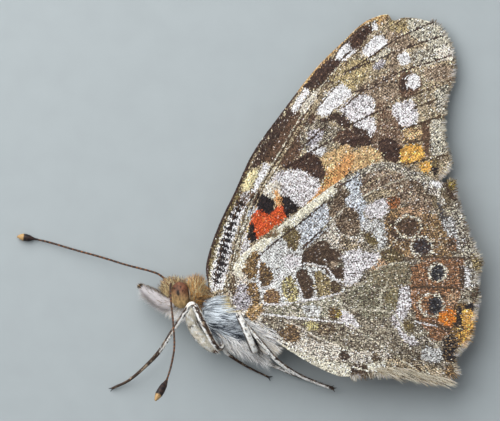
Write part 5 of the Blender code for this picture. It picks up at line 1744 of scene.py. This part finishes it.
# Building
def build_wings():
    sheet = surface_material("wing_membrane")
    coat = surface_material("wing_scales")
    edging = surface_material("wing_fringe")
    kinds = (
        ("fore", FOREWING_EDGE, FOREWING_VEINS, forewing_fringed, paint_forewing, hidden_by_hindwing),
        ("hind", HINDWING_EDGE, HINDWING_VEINS, hindwing_fringed, paint_hindwing, None),
    )
    number = 0
    for word, side, share in (("left", 1, 1.0), ("right", -1, FAR_SIDE_SHARE)):
        for pair, edge, veins, fringed, painter, hidden in kinds:
            name = "%swing_%s" % (pair, word)
            slot = "%swing_surface" % pair
            height = wing_height(name)
            plan = wing_plan(edge, veins, share, fringed)
            settle(membrane(name + "_membrane", plan, height, side, painter, sheet), slot, name)
            settle(wing_scales(name + "_scales", plan, height, side, painter, coat, SCALE_GRIDS[word],
                               SEEDS["wing_scales"] + number, fringed, hidden), slot)
            settle(fringe(name + "_fringe", plan, height, fringed, painter, edging,
                          SEEDS["fringe"] + number), slot)
            number += 1


def build_body():
    cuticle = surface_material("body_cuticle")
    hair = surface_material("silky_hair")
    eyes = surface_material("compound_eye")
    skin = body_skin(cuticle)
    settle(skin, "thorax_coat", "thorax", "collar", "head", "abdomen")
    settle(body_hair(skin, hair), "thorax_coat")
    for side, word in ((1, "left"), (-1, "right")):
        eye(word, side, eyes)
        palp(word, side, cuticle, hair)


def build_loose_hair():
    hair = surface_material("loose_pale_hair")
    for name, row in LOOSE_HAIR.items():
        field_hair(name, *row, hair)


def build_limbs():
    cuticle = surface_material("leg_cuticle")
    coat = surface_material("leg_scale_coat")
    feeler = surface_material("feeler_cuticle")
    spines = plain_tint({"black": 0.6, "umber": 0.4})
    white_hair = plain_tint({"chalk": 0.6, "fleece": 0.25, "pale": 0.15})
    tints = {
        "midleg_left": thigh_tint(0.36, 0.66), "midleg_right": leg_tint(0.3, 0.1),
        "hindleg_left": thigh_tint(0.38, 0.97), "hindleg_right": leg_tint(0.6, 0.3),
        "foreleg_left": foreleg_tint, "foreleg_right": foreleg_tint,
    }
    for number, (name, path) in enumerate(LIMBS.items()):
        rng = np.random.default_rng(SEEDS["limb"] + number)
        if name.startswith("antenna"):
            path = [(x, y, z, r * (CLUB_SLIM if r > 0.3 else SHAFT_SLIM)) for x, y, z, r in path]
            slot = "feeler_surface"
            frames = limb_skin(name, path, ((0, 1), (1, 1)), feeler_tint, feeler, slot, rng, step=0.12)
            limb_hair(name + "_scales", frames, COATS["feeler"], feeler_tint, coat, slot, rng)
            continue
        slot = "leg_scales"
        slim, count = LEG_SLIMS[name]
        frames = limb_skin(name, path, slim, tints[name], cuticle, slot, rng)
        limb_hair(name + "_scales", frames, (count, *LEG_SCALE), tints[name], coat, slot, rng)
        if name.startswith("foreleg"):
            limb_hair(name + "_hairs", frames, COATS["foreleg"], white_hair, coat, slot, rng)
        else:
            limb_hair(name + "_spines", frames, COATS["spines"], spines, coat, slot, rng, span=SPINE_SPAN)
            claws(name + "_claws", frames, coat)


lay_floor()
light_room()
hold_camera()
build_wings()
build_body()
build_loose_hair()
build_limbs()
